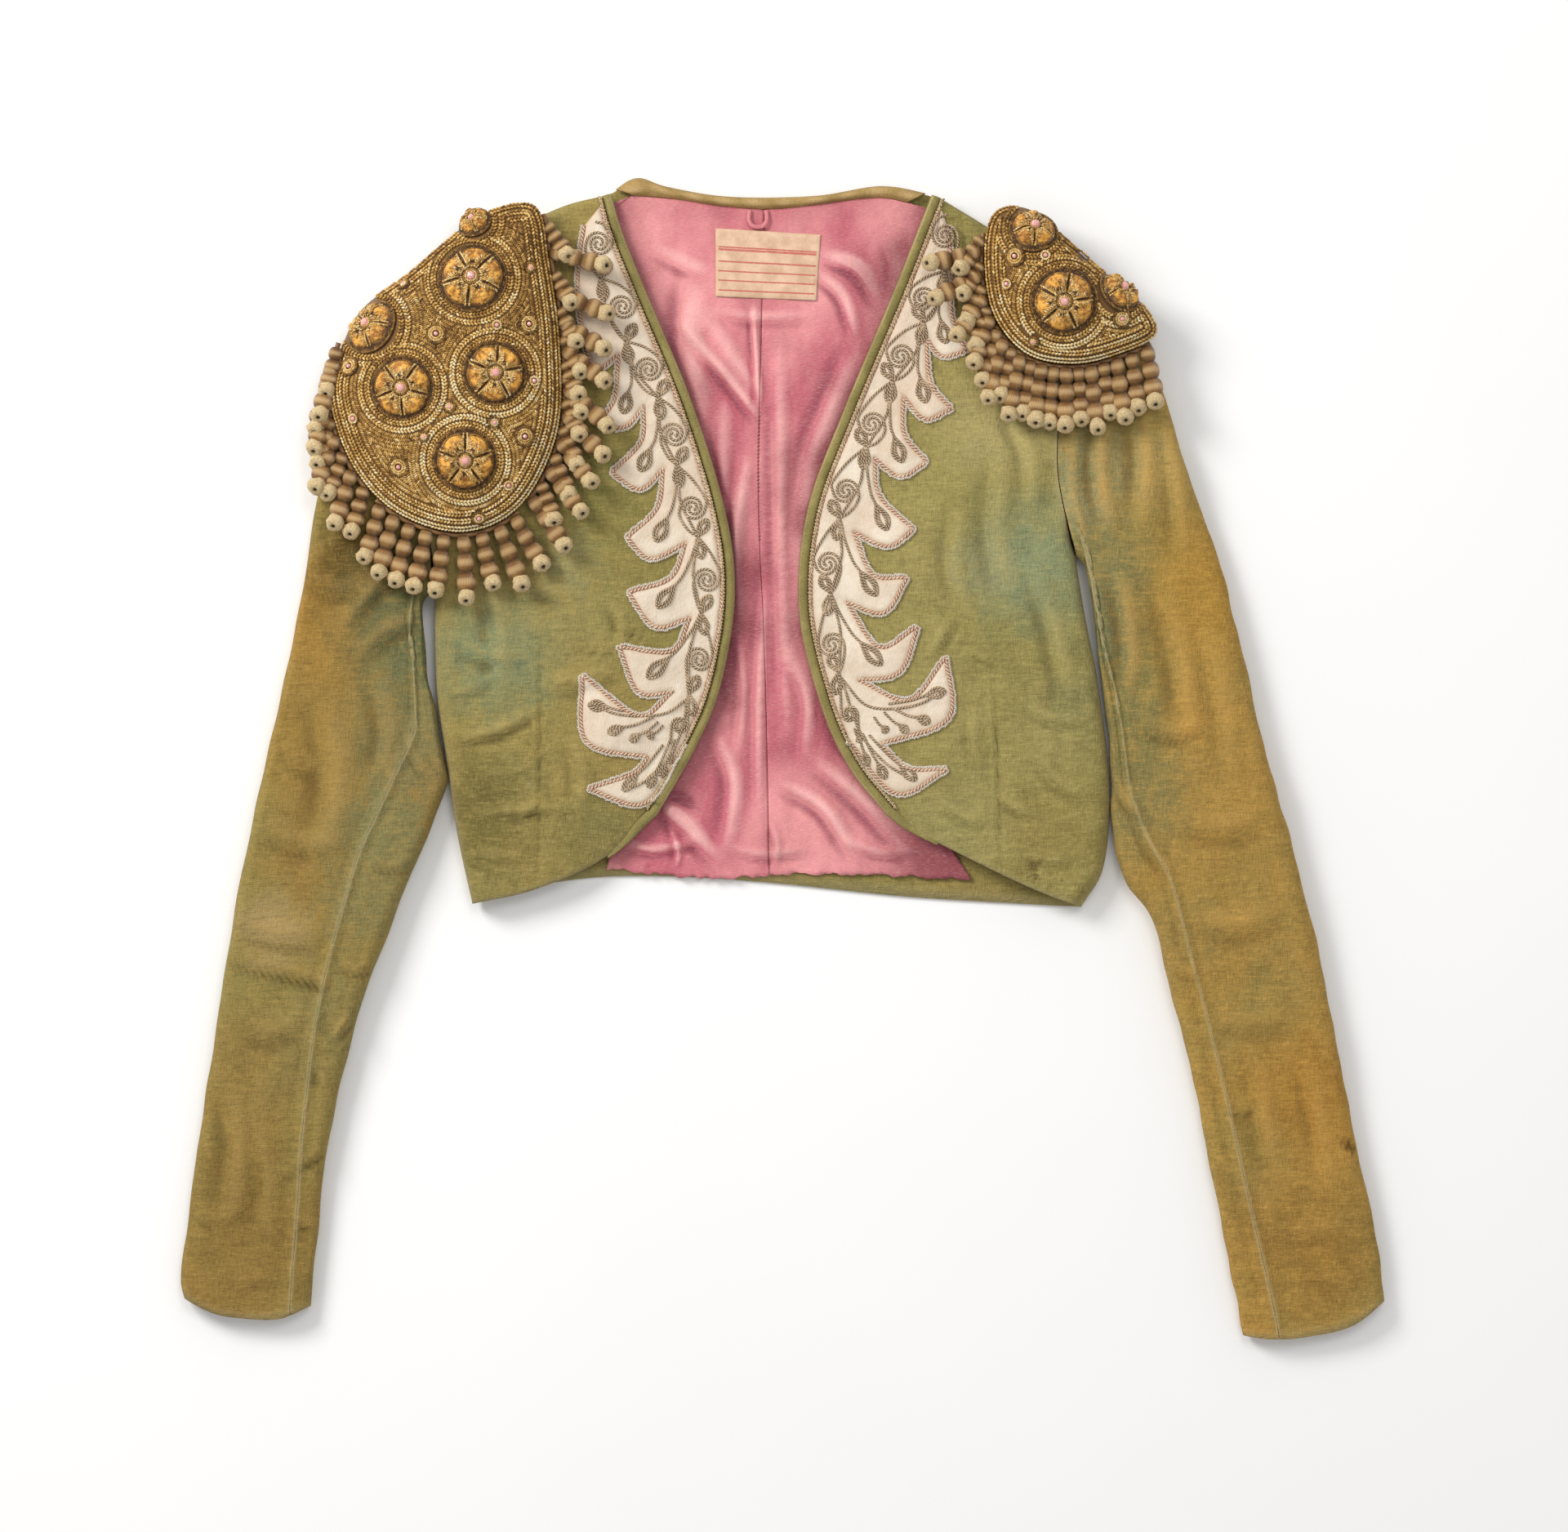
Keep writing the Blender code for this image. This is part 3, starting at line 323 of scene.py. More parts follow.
def sheet_faces(rows, columns):
    index = np.arange(rows * columns).reshape(rows, columns)
    return np.stack((index[:-1, :-1], index[:-1, 1:], index[1:, 1:], index[1:, :-1]), -1).reshape(-1, 4)


def cloth(name, grid, face, wall, finish, slot, replaces=(), notes=None):
    """A thin closed shell of cloth on a grid of its outer side. face is 1 where the grid faces out."""
    rows, columns = grid.shape[:2]
    inner = grid - normals_of(grid) * face * wall
    inner[..., 2] = np.maximum(inner[..., 2], .0001)
    quads = sheet_faces(rows, columns)
    index = np.arange(rows * columns).reshape(rows, columns)
    rim = np.concatenate((index[0], index[1:, -1], index[-1, -2::-1], index[-2:0:-1, 0]))
    after = np.roll(rim, -1)
    count = rows * columns
    faces = np.vstack((quads, quads[:, ::-1] + count, np.stack((after, rim, rim + count, after + count), -1)))
    points = np.vstack((grid.reshape(-1, 3), inner.reshape(-1, 3)))
    doubled = {label: np.tile(np.ravel(values), 2) for label, values in (notes or {}).items()}
    return piece(name, points, faces, finish, slot, replaces, doubled)


def velvet(name, worn, patches, seed, teal=.4):
    """Faded velvet: green ground with large worn clouds, fine slubs both ways, lint, pale rubbed edges,
    and painted highlights on fold ridges with painted shade in their troughs.
    """
    def ground(dye):
        where = dye.node("VectorMath", {"operation": "ADD"}, {0: dye.place(), 1: (seed, seed * 2, 0)})
        here = dye.place()
        broad = dye.cloud(where, (11, 7, 11), 3)
        small = dye.cloud(where, (90, 60, 90), 5, .65)
        tone = broad.clear(.38, .64).mix(GREEN, worn)
        tone = (dye.cloud(where, (14, 12, 14), 3).clear(.56, .74) * teal).mix(tone, TEAL)
        for mark, reach, colour, strength in patches:
            x, y = plan(mark)
            level = dye.node("VectorMath", {"operation": "MULTIPLY"}, {0: here, 1: (1, 1, 0)})
            away = dye.node("VectorMath", {"operation": "DISTANCE"}, {0: level, 1: (x, y, 0)}, 1)
            spot = (away + (small - .5) * .05).clear(reach * MM, reach * MM * .25) * strength
            tone = spot.mix(tone, colour)
        streak = dye.cloud(here, (70, 420, 90), 3, .6)
        tone = (streak.clear(.52, .72) * .4).mix(tone, tuple(part * 1.4 + .01 for part in worn))
        tone = ((1 - streak).clear(.52, .72) * .4).mix(tone, tuple(part * .5 for part in worn))
        tone = (small.clear(.4, .75) * .3).mix(tone, tuple(part * 1.35 for part in worn))
        tone = ((1 - small).clear(.5, .75) * .28).mix(tone, tuple(part * .5 for part in worn))
        slub = slubs(dye)
        tone = (slub.clear(.52, .70) * .5).mix(tone, tuple(part * 1.6 + .02 for part in worn))
        tone = ((1 - slub).clear(.52, .72) * .6).mix(tone, tuple(part * .36 for part in worn))
        # Painted light from the fold note: painted highlight on fold ridges, painted shade in fold troughs.
        fold = dye.note("fold")
        tone = (fold.clear(.25, 2.4) * .4).mix(tone, tuple(part * 1.5 + .03 for part in worn))
        tone = ((0 - fold).clear(.15, 1.3) * .7).mix(tone, tuple(part * .3 for part in worn))
        tone = (dye.note("edge") * .42).mix(tone, (.52, .44, .24))
        lint = dye.cloud(here, (620, 620, 620), 2).clear(.735, .79)
        return (lint * .6).mix(tone, (.72, .70, .60))

    def slubs(dye):
        here = dye.place()
        return dye.cloud(here, (190, 1500, 600), 2) * .5 + dye.cloud(here, (1500, 190, 600), 2) * .5

    def relief(dye):
        return slubs(dye) + dye.cloud(dye.place(), (260, 260, 260), 3) * .8

    return finished(name, ground, lambda dye: dye.cloud(dye.place(), (60, 60, 60)) * .15 + .78, relief, .0011,
                    Sheen_Weight=.06, Sheen_Roughness=.5, Sheen_Tint=(.9, .85, .55, 1),
                    Specular_IOR_Level=.12)


GREEN = (.255, .215, .066)
TEAL = (.23, .255, .125)
OCHRE = (.325, .245, .078)
BROWN = (.19, .14, .04)

LEFT_SIDE = curve(plan([(578, 1107), (560, 1024), (546, 935), (534, 846), (531, 724)]))
LEFT_ARMHOLE = curve(plan([(531, 724), (528, 640), (535, 520), (545, 420), (560, 330)]))
LEFT_SHOULDER = curve(plan([(560, 330), (620, 286), (690, 252), (748, 236)]))
LEFT_HEM = curve(plan([(578, 1107), (657, 1089), (745, 1051), (805, 998)]))
LEFT_OPENING = curve(plan([(805, 998), (854, 912), (883, 838), (900, 731), (889, 628), (847, 491), (794, 363),
                           (763, 286), (748, 236)]))
RIGHT_SIDE = curve(plan([(1324, 1111), (1352, 1060), (1359, 962), (1345, 838), (1329, 755), (1317, 682)]))
RIGHT_ARMHOLE = curve(plan([(1317, 682), (1297, 599), (1294, 540), (1302, 450), (1340, 372)]))
RIGHT_SHOULDER = curve(plan([(1141, 238), (1215, 282), (1285, 330), (1340, 372)]))[::-1]
RIGHT_HEM = curve(plan([(1086, 999), (1115, 1019), (1195, 1057), (1268, 1090), (1324, 1111)]))[::-1]
RIGHT_OPENING = curve(plan([(1086, 999), (1039, 939), (1005, 864), (978, 747), (988, 626), (1031, 507),
                            (1092, 362), (1124, 281), (1141, 238)]))

# Marks along each fold, then its half width and height in millimetres.
LEFT_FRONT_FOLDS = [
    ((662, 784), (661, 930), (659, 1089), 2.2, -1.0), ((655, 790), (654, 870), (655, 960), 1.8, .9),
    ((560, 905), (610, 893), (657, 869), 4.5, 2.6), ((585, 999), (628, 990), (703, 989), 4, 1.9),
    ((667, 833), (705, 832), (739, 821), 2.2, 2.2), ((703, 788), (732, 794), (759, 793), 2.4, 1.6),
    ((749, 736), (763, 765), (759, 793), 5, 1.8), ((749, 767), (770, 778), (790, 782), 2, -1.3),
    ((669, 837), (715, 835), (757, 818), 6, 1.5), ((616, 998), (640, 996), (657, 983), 3.5, 1.6),
    ((590, 700), (612, 760), (618, 850), 9, 1.8), ((700, 560), (690, 640), (700, 720), 10, 1.6),
    ((560, 1050), (610, 1046), (650, 1052), 5, 1.3), ((700, 900), (714, 950), (706, 1010), 7, 1.5),
    ((640, 700), (668, 722), (712, 728), 5, 1.4), ((560, 780), (590, 800), (640, 804), 6, 1.5),
    ((586, 940), (620, 948), (652, 938), 3, 1.2), ((548, 850), (572, 846), (600, 832), 4, 1.4)]
RIGHT_FRONT_FOLDS = [
    ((1215, 810), (1221, 930), (1225, 1071), 2.2, -1.0), ((1209, 820), (1214, 900), (1219, 1000), 1.8, .9),
    ((1136, 804), (1152, 782), (1165, 758), 4, 2.0), ((1189, 796), (1203, 805), (1218, 809), 2.4, 1.6),
    ((1221, 972), (1243, 988), (1268, 998), 4, 1.8), ((1230, 560), (1222, 650), (1236, 730), 10, 1.7),
    ((1180, 620), (1170, 690), (1186, 752), 8, 1.5), ((1270, 700), (1296, 780), (1310, 860), 8, 1.9),
    ((1250, 860), (1290, 880), (1334, 878), 4.5, 1.5), ((1240, 1040), (1280, 1052), (1318, 1050), 4, 1.3),
    ((1150, 980), (1185, 1000), (1212, 1004), 5, 1.4), ((1276, 930), (1300, 960), (1340, 972), 5, 1.5),
    ((1240, 500), (1262, 560), (1264, 630), 8, 2.0), ((1196, 860), (1192, 900), (1200, 950), 5, 1.2)]


def front(name, side, armhole, shoulder, hem, opening, inward, folds, finish, seed):
    """One front of the jacket, on the form of its solid, with its listed folds."""
    edge = shifted(opening, inward * (BINDING_WIDTH + 1.5 * GAP))
    outer = joined(side, armhole)
    low = meeting(hem, edge[0])
    high = meeting(shoulder, edge[-1])
    up = np.concatenate((np.linspace(0, .976, 132), 1 - .024 * np.cos(np.radians(np.linspace(0, 90, 8)[1:]))))
    width = np.linalg.norm(along(outer, up) - along(edge, up), axis=1)[:, None]
    run = lengths(outer)[-1]
    turn = (math.radians(88) * ease((up * run - lengths(side)[-1]) / UNDERARM_TURN))[:, None]
    angles = turn + (np.pi / 2 - turn) * np.linspace(0, 1, 8)
    inset = FOLD_RADIUS * (np.cos(turn) - np.cos(angles)) / width
    level = inset[:, -1:] + (1 - inset[:, -1:]) * np.linspace(0, 1, 92)[1:]
    across = np.hstack((inset, level))
    sine = np.hstack((np.sin(angles), np.ones_like(level)))
    ground = patch(outer, edge, low, high, across, up)
    height = np.linalg.norm(along(high, .5) - along(low, .5))
    rounding = 1 - np.clip((1 - up) * height / FOLD_RADIUS, 0, 1)
    rounding = np.sqrt(np.clip(1 - rounding ** 2, 0, 1))[:, None]
    top = OPENING_TOP + (BODY_TOP - OPENING_TOP) * ease((1 - across) * width / OPENING_SLOPE)
    rise = SEAM_HEIGHT + GAP / 2 + (top - SEAM_HEIGHT - GAP / 2) * sine * rounding
    fold = creases(ground, folds)
    inside = (ease(across * width / (9 * MM)) * ease((1 - across) * width / (7 * MM)) *
              ease((1 - up)[:, None] * 30))
    hem_roll = np.exp(-((up[:, None] * height / (4 * MM)) ** 2)) * -1.1 * MM
    rise += (fold * 1.5 + ripple(ground, 60, .9, seed)) * inside + hem_roll
    worn = (np.exp(-((up[:, None] * height / (2.2 * MM)) ** 2)) +
            .8 * np.exp(-((across * width / (3 * MM)) ** 2)))
    grid = np.dstack((ground, rise))
    return cloth(name, grid, inward, VELVET, finish, "velvet", [name],
                 {"fold": fold / MM * inside, "edge": np.clip(worn, 0, 1)})


left_velvet = velvet("velvet_left_front", OCHRE, [
    ((606, 800), 55, (.20, .25, .135), .95), ((590, 1000), 60, (.14, .115, .032), .85),
    ((700, 600), 60, (.20, .20, .06), .6),
    ((720, 760), 45, (.31, .27, .10), .6), ((740, 1010), 40, (.17, .165, .06), .6),
    ((660, 1060), 40, (.26, .20, .06), .5), ((690, 690), 30, (.30, .33, .19), .4)], .7)
right_velvet = velvet("velvet_right_front", (.345, .285, .10), [
    ((1265, 690), 60, (.23, .28, .155), .95), ((1160, 600), 45, (.33, .28, .09), .6),
    ((1290, 1020), 60, (.28, .21, .06), .75), ((1272, 1071), 7, (.10, .06, .02), .8),
    ((1170, 1000), 45, (.31, .27, .10), .6), ((1225, 520), 50, (.48, .40, .17), .8),
    ((1310, 860), 30, (.20, .19, .075), .7), ((1200, 690), 30, (.36, .34, .18), .5)], 3.1)
front_left = front("front_left", LEFT_SIDE, LEFT_ARMHOLE, LEFT_SHOULDER, LEFT_HEM, LEFT_OPENING, 1,
                   LEFT_FRONT_FOLDS, left_velvet, 5)
front_right = front("front_right", RIGHT_SIDE, RIGHT_ARMHOLE, RIGHT_SHOULDER, RIGHT_HEM, RIGHT_OPENING, -1,
                    RIGHT_FRONT_FOLDS, right_velvet, 6)

# Back. One wide piece of the same velvet lies face down on the table under everything else, and only
# its hem and turned-up side edges show from above.
BACK_HEM = curve(plan([(578, 1107), (657, 1085), (740, 1074), (833, 1074), (951, 1082), (1107, 1098),
                       (1250, 1107), (1324, 1111)]))
NECK = curve(plan([(748, 236), (779, 218), (817, 229), (893, 241), (998, 240), (1079, 228), (1141, 238)]))
NECK_FLAT = 14 * MM
NECK_TURN = 28 * MM
BACK_FOLDS = [((640, 300), (760, 620), (700, 1000), 16, 1.2), ((900, 340), (880, 640), (930, 960), 14, 1.4),
              ((1100, 320), (1140, 600), (1090, 980), 15, 1.3),
              ((700, 1010), (800, 1040), (900, 1034), 9, 1.2),
              ((1000, 1050), (1110, 1040), (1230, 1070), 8, 1.4),
              ((1200, 400), (1240, 700), (1220, 900), 12, 1.0)]


def back_half(side, armhole, hem, top, up):
    outer = joined(side, armhole)
    middle = np.linspace(hem[-1], top[-1], 50)
    width = np.linalg.norm(along(outer, up) - along(middle, up), axis=1)[:, None]
    run = lengths(outer)[-1]
    turn = (math.radians(88) * ease((up * run - lengths(side)[-1]) / UNDERARM_TURN))[:, None]
    angles = turn + (np.pi / 2 - turn) * np.linspace(0, 1, 8)
    inset = FOLD_RADIUS * (np.cos(turn) - np.cos(angles)) / width
    level = inset[:, -1:] + (1 - inset[:, -1:]) * np.linspace(0, 1, 38)[1:]
    across = np.hstack((inset, level))
    sine = np.hstack((np.sin(angles), np.ones_like(level)))
    ground = patch(outer, middle, hem, top, across, up)
    height = np.linalg.norm(along(top, .5) - along(hem, .5))
    rounding = 1 - np.clip((1 - up) * height / FOLD_RADIUS, 0, 1)
    rounding = np.sqrt(np.clip(1 - rounding ** 2, 0, 1))[:, None]
    beyond = np.maximum(NECK[0, 0] - ground[..., 0], ground[..., 0] - NECK[-1, 0])
    curl = np.clip((beyond - NECK_FLAT) / NECK_TURN, 0, 1)
    rise = (SEAM_HEIGHT - GAP / 2) * (1 - sine * (1 - (1 - rounding) * curl))
    return np.dstack((ground, rise))


back_rows = np.concatenate((np.linspace(0, .976, 50),
                            1 - .024 * np.cos(np.radians(np.linspace(0, 90, 6)[1:]))))
back_top = joined(LEFT_SHOULDER, NECK, RIGHT_SHOULDER[::-1])
left_half = back_half(LEFT_SIDE, LEFT_ARMHOLE, along(BACK_HEM, np.linspace(0, .5, 60)),
                      along(back_top, np.linspace(0, .5, 60)), back_rows)
right_half = back_half(RIGHT_SIDE, RIGHT_ARMHOLE, along(BACK_HEM, np.linspace(1, .5, 60)),
                       along(back_top, np.linspace(1, .5, 60)), back_rows)
back_grid = np.hstack((left_half, right_half[:, -2::-1]))
back_grid[..., 2] += np.abs(creases(back_grid, BACK_FOLDS)) * .4 * (back_grid[..., 2] < 2 * MM)
back_velvet = velvet("velvet_back", OCHRE, [((957, 600), 90, TEAL, .5), ((760, 900), 60, BROWN, .5),
                                            ((1180, 420), 60, (.44, .36, .18), .6)], 5.3)
back_panel = cloth("back_panel", back_grid, -1, VELVET, back_velvet, "velvet", ["back_panel"],
                   {"fold": creases(back_grid, BACK_FOLDS) / MM,
                    "edge": np.exp(-((back_rows * .46 / .003) ** 2))[:, None] * np.ones(back_grid.shape[:2])})


# Sleeves. Each is a two-piece tube of the same velvet, pressed flat, with a curved front seam whose
# allowances stand as a pale ridge, and a back seam underneath. The cuffs are open, with rounded corners.
SLEEVE_STATIONS = (0, .28, .5, 1)
SLEEVE_TOPS = (20 * MM, 20 * MM, 24 * MM, 15 * MM)
LEFT_SLEEVE = dict(
    outer=[(556, 333), (482, 388), (432, 445), (408, 520), (387, 606), (360, 767), (293, 1080), (262, 1266),
           (223, 1541), (224, 1590)],
    inner=[(528, 725), (515, 742), (518, 790), (522, 835), (530, 864), (536, 899), (543, 935), (546, 962),
           (528, 1010), (483, 1120), (437, 1244), (401, 1403), (386, 1534), (379, 1600)],
    cuff=[(224, 1590), (264, 1609), (307, 1615), (345, 1614), (379, 1600)],
    armhole=shifted(LEFT_ARMHOLE[::-1], -2 * GAP),
    seam=[(0, .86), (.22, .82), (.45, .71), (.65, .74), (.85, .82), (1, .84)], facing=1, seed=8, folds=[
        ((282, 1172), (383, 1195), (404, 1208), 5, 3.0), ((300, 1128), (350, 1140), (398, 1140), 9, 1.9),
        ((409, 1270), (420, 1256), (432, 1240), 3.5, 2.6), ((390, 1309), (396, 1318), (399, 1329), 4, 2.0),
        ((363, 1427), (382, 1416), (396, 1404), 3.2, 2.4), ((340, 1438), (352, 1434), (363, 1427), 4, 1.4),
        ((357, 1492), (372, 1496), (386, 1502), 3, 2.0), ((425, 760), (455, 722), (490, 690), 6, 2.4),
        ((440, 800), (474, 770), (512, 752), 7, 2.2), ((404, 850), (416, 960), (398, 1060), 13, 2.0),
        ((470, 830), (480, 900), (470, 960), 9, 1.8), ((330, 1010), (370, 1030), (430, 1030), 8, 1.6),
        ((380, 700), (412, 720), (450, 708), 7, 1.8), ((300, 1250), (330, 1262), (372, 1246), 8, 1.6),
        ((284, 1330), (296, 1410), (280, 1500), 10, 1.8), ((318, 1360), (330, 1440), (322, 1530), 8, 1.3),
        ((236, 1480), (270, 1490), (300, 1478), 6, 1.1), ((500, 900), (512, 930), (530, 950), 4, 1.8),
        ((455, 1050), (480, 1060), (505, 1056), 4, 1.7), ((420, 1180), (440, 1186), (462, 1172), 4, 1.8),
        ((268, 1556), (300, 1566), (352, 1562), 5, 1.0), ((352, 900), (366, 930), (392, 940), 6, 1.3)])
RIGHT_SLEEVE = dict(
    outer=[(1345, 372), (1398, 420), (1428, 480), (1462, 590), (1500, 700), (1550, 910), (1596, 1080),
           (1629, 1228), (1657, 1376), (1689, 1531), (1695, 1594)],
    inner=[(1321, 682), (1336, 700), (1343, 755), (1350, 829), (1360, 893), (1363, 962), (1364, 1022),
           (1381, 1080), (1411, 1123), (1431, 1200), (1459, 1306), (1489, 1461), (1523, 1636)],
    cuff=[(1695, 1594), (1655, 1624), (1600, 1637), (1560, 1640), (1523, 1636)],
    armhole=shifted(RIGHT_ARMHOLE[::-1], 2 * GAP),
    seam=[(0, .86), (.25, .80), (.42, .74), (.65, .78), (1, .76)], facing=-1, seed=9, folds=[
        ((1316, 520), (1308, 600), (1330, 660), 7, 3.0), ((1352, 500), (1348, 580), (1362, 650), 8, 2.6),
        ((1398, 490), (1404, 570), (1398, 650), 9, 2.2), ((1434, 520), (1444, 600), (1450, 680), 8, 1.8),
        ((1372, 700), (1386, 780), (1384, 850), 8, 2.2), ((1430, 720), (1452, 820), (1460, 900), 11, 1.9),
        ((1480, 760), (1500, 860), (1510, 950), 9, 1.5), ((1400, 880), (1430, 896), (1470, 890), 6, 1.8),
        ((1440, 1000), (1490, 1010), (1540, 1000), 9, 1.8),
        ((1396, 1010), (1420, 1050), (1440, 1070), 5, 1.8),
        ((1640, 1400), (1650, 1404), (1660, 1410), 3.5, -2.4),
        ((1462, 1120), (1510, 1130), (1570, 1110), 9, 1.7),
        ((1490, 1240), (1530, 1250), (1590, 1240), 8, 1.5),
        ((1540, 1300), (1552, 1380), (1566, 1450), 9, 1.6),
        ((1600, 1290), (1618, 1370), (1630, 1450), 9, 1.3),
        ((1500, 1350), (1516, 1356), (1534, 1346), 4, 1.6),
        ((1550, 1500), (1600, 1506), (1650, 1494), 7, 1.2),
        ((1440, 1180), (1454, 1190), (1472, 1188), 4, 1.6),
        ((1600, 1560), (1640, 1566), (1676, 1556), 5, 1.0), ((1370, 960), (1382, 984), (1400, 1000), 4, 2.0)])


def sleeve(name, part, outer, inner, cuff, armhole, seam, facing, seed, folds, finish):
    """The upper or under piece of a sleeve, from its back seam round the fold to the front seam."""
    outer = curve(plan(outer))
    inner = curve(plan(inner))
    cuff = curve(plan(cuff))
    up = np.linspace(0, 1, 140)
    width = np.linalg.norm(along(outer, up) - along(inner, up), axis=1)[:, None]
    top = np.interp(up, SLEEVE_STATIONS, SLEEVE_TOPS)[:, None]
    front_seam = np.interp(up, *np.transpose(seam))[:, None]
    slit = .5 * GAP / width
    angles = np.radians(np.linspace(-90, 90, 15))[None]
    inset = FOLD_RADIUS * (1 - np.cos(angles)) / width
    curl = np.sin(angles) + 0 * width
    if part == "upper":
        below = .5 - slit + (inset[:, :1] - .5 + slit) * np.linspace(0, 1, 12)[:-1]
        above = inset[:, -1:] + (front_seam - slit - inset[:, -1:]) * np.linspace(0, 1, 62)[1:]
        across = np.hstack((below, inset, above))
        sine = np.hstack((below * 0 - 1, curl, above * 0 + 1))
    else:
        above = front_seam + slit + (1 - inset[:, -1:] - front_seam - slit) * np.linspace(0, 1, 26)[:-1]
        below = 1 - inset[:, :1] + (.5 + slit - 1 + inset[:, :1]) * np.linspace(0, 1, 12)[1:]
        across = np.hstack((above, (1 - inset)[:, ::-1], below))
        sine = np.hstack((above * 0 + 1, curl[:, ::-1], below * 0 - 1))
    ground = patch(outer, inner, armhole, cuff, across, up)
    rise = (1 + sine) * top / 2
    lying = ease(sine * 1.4)
    reach = np.abs(across - front_seam) * width
    inside = lying * ease(up[:, None] * 24) * ease((1 - up[:, None]) * 60 + .25)
    fold = creases(ground, folds) * inside
    pucker = (.5 * MM * np.sin(up[:, None] * 210 + 3 * np.sin(up[:, None] * 37)) *
              np.exp(-((reach / .006) ** 2)))
    ridge = (1.1 * MM + pucker) * np.exp(-((reach / (2.4 * MM)) ** 2)) - .9 * MM * np.exp(
        -(((reach - .008) / .004) ** 2))
    rise = rise + fold * 1.5 + (ripple(ground, 55, 1, seed) + ridge) * inside
    cuff_roll = np.exp(-(((1 - up[:, None]) * .7 / .004) ** 2))
    rise = rise + cuff_roll * 1.2 * MM * (lying - .6)
    sag = ease(up * 8)[:, None] * ripple(np.dstack((ground[..., 1], ground[..., 1] * 0)), 34, .7, seed + 1)
    ground = ground + (sag * (1 - np.abs(sine)))[..., None] * np.array([1, 0])
    rise = np.maximum(rise, 0)
    edge = lying * np.clip(1.15 * np.exp(-((reach / (1.5 * MM)) ** 2)) + .9 * cuff_roll, 0, 1)
    return cloth(name, np.dstack((ground, rise)), -facing, VELVET, finish,
                 "velvet", [name], {"fold": fold / MM, "edge": edge})


left_sleeve_velvet = velvet("velvet_left_sleeve", (.295, .185, .048), [
    ((335, 1138), 34, (.42, .31, .14), .8), ((500, 800), 42, (.155, .185, .085), .95),
    ((470, 1000), 40, (.21, .215, .095), .85), ((440, 1120), 36, (.24, .21, .08), .85),
    ((395, 760), 55, (.37, .205, .04), .8), ((370, 900), 60, (.33, .20, .045), .7),
    ((300, 1500), 70, (.24, .155, .04), .8), ((300, 1300), 50, (.28, .18, .05), .7),
    # The darkest patch, at (440, 690) just below the fringe, is the fringe's shadow painted on the sleeve.
    ((440, 690), 46, (.09, .055, .012), .9), ((380, 1300), 26, (.22, .18, .06), .6),
    ((495, 760), 62, (.095, .125, .06), .85), ((500, 900), 55, (.17, .19, .09), .75),
    ((470, 1060), 50, (.20, .20, .085), .7), ((415, 1230), 34, (.22, .19, .07), .6)], 7.7, .2)
right_sleeve_velvet = velvet("velvet_right_sleeve", (.43, .245, .055), [
    ((1317, 600), 40, (.38, .37, .19), .95), ((1350, 780), 40, (.15, .19, .095), .95),
    ((1400, 570), 46, (.46, .34, .12), .75), ((1480, 720), 70, (.43, .235, .04), .8),
    ((1500, 1000), 80, (.40, .235, .055), .7), ((1630, 1540), 60, (.30, .165, .035), .8),
    ((1400, 950), 42, (.22, .20, .075), .85), ((1440, 1150), 40, (.29, .21, .065), .75),
    ((1600, 1330), 60, (.40, .20, .035), .8), ((1540, 1500), 50, (.33, .19, .045), .7),
    ((1330, 560), 50, (.22, .235, .115), .8), ((1345, 700), 45, (.165, .19, .09), .8),
    ((1365, 880), 46, (.17, .18, .075), .8), ((1385, 1010), 44, (.21, .20, .08), .7)], 9.9, .15)
for side, shape, finish, sizes in (("left", LEFT_SLEEVE, left_sleeve_velvet,
                                    ((.20, .72, .105), (.12, .66, .055))),
                                   ("right", RIGHT_SLEEVE, right_sleeve_velvet,
                                    ((.20, .74, .105), (.12, .6, .055)))):
    for part, (width, length, area) in zip(("upper", "under"), sizes):
        made = sleeve("sleeve_%s_%s" % (side, part), part, finish=finish, **shape)


# Opening and neck bindings. Narrow bias strips of the velvet, rubbed pale, wrap the raw edges of the
# fronts and of the back neck, and are felled down by hand in small even stitches.
def bias_strip(name, deep, light, rubbed):
    def pile(dye):
        here = dye.place()
        tone = dye.cloud(here, (60, 60, 60), 4).clear(.36, .66).mix(deep, light)
        tone = (dye.note("edge").clear(.3, .95) * .75).mix(tone, rubbed)
        bias = dye.cloud(here, (900, 900, 900), 2)
        return (bias.clear(.5, .74) * .5).mix(tone, tuple(part * .5 for part in deep))

    return finished(name, pile, lambda dye: dye.cloud(dye.place(), (90, 90, 90)) * .15 + .75,
                    lambda dye: dye.cloud(dye.place(), (1100, 1100, 1100), 2), .0006,
                    Sheen_Weight=.06, Sheen_Roughness=.5, Specular_IOR_Level=.15)


olive_strip = bias_strip("velvet_opening_binding", (.24, .20, .068), (.34, .28, .10), (.52, .43, .20))
tan_strip = bias_strip("velvet_neck_binding", (.33, .215, .07), (.48, .32, .12), (.60, .41, .19))


def surface_of(*pieces):
    """The pieces' faces, ready to be felt for from above."""
    points = []
    faces = []
    for made in pieces:
        faces += [[corner + len(points) for corner in face.vertices] for face in made.data.polygons]
        points += [tuple(vertex.co) for vertex in made.data.vertices]
    return BVHTree.FromPolygons(points, faces)


def felt(surface, spots, otherwise):
    """Height of the surface under each spot, seen from above."""
    rise = []
    for x, y in np.asarray(spots).reshape(-1, 2):
        hit = surface.ray_cast(Vector((x, y, .2)), Vector((0, 0, -1)))[0]
        rise.append(hit.z if hit else otherwise)
    return np.array(rise).reshape(np.shape(spots)[:-1])


def smoothed(values, times):
    for _ in range(times):
        values = np.concatenate((values[:1], (values[:-2] + 2 * values[1:-1] + values[2:]) / 4, values[-1:]))
    return values


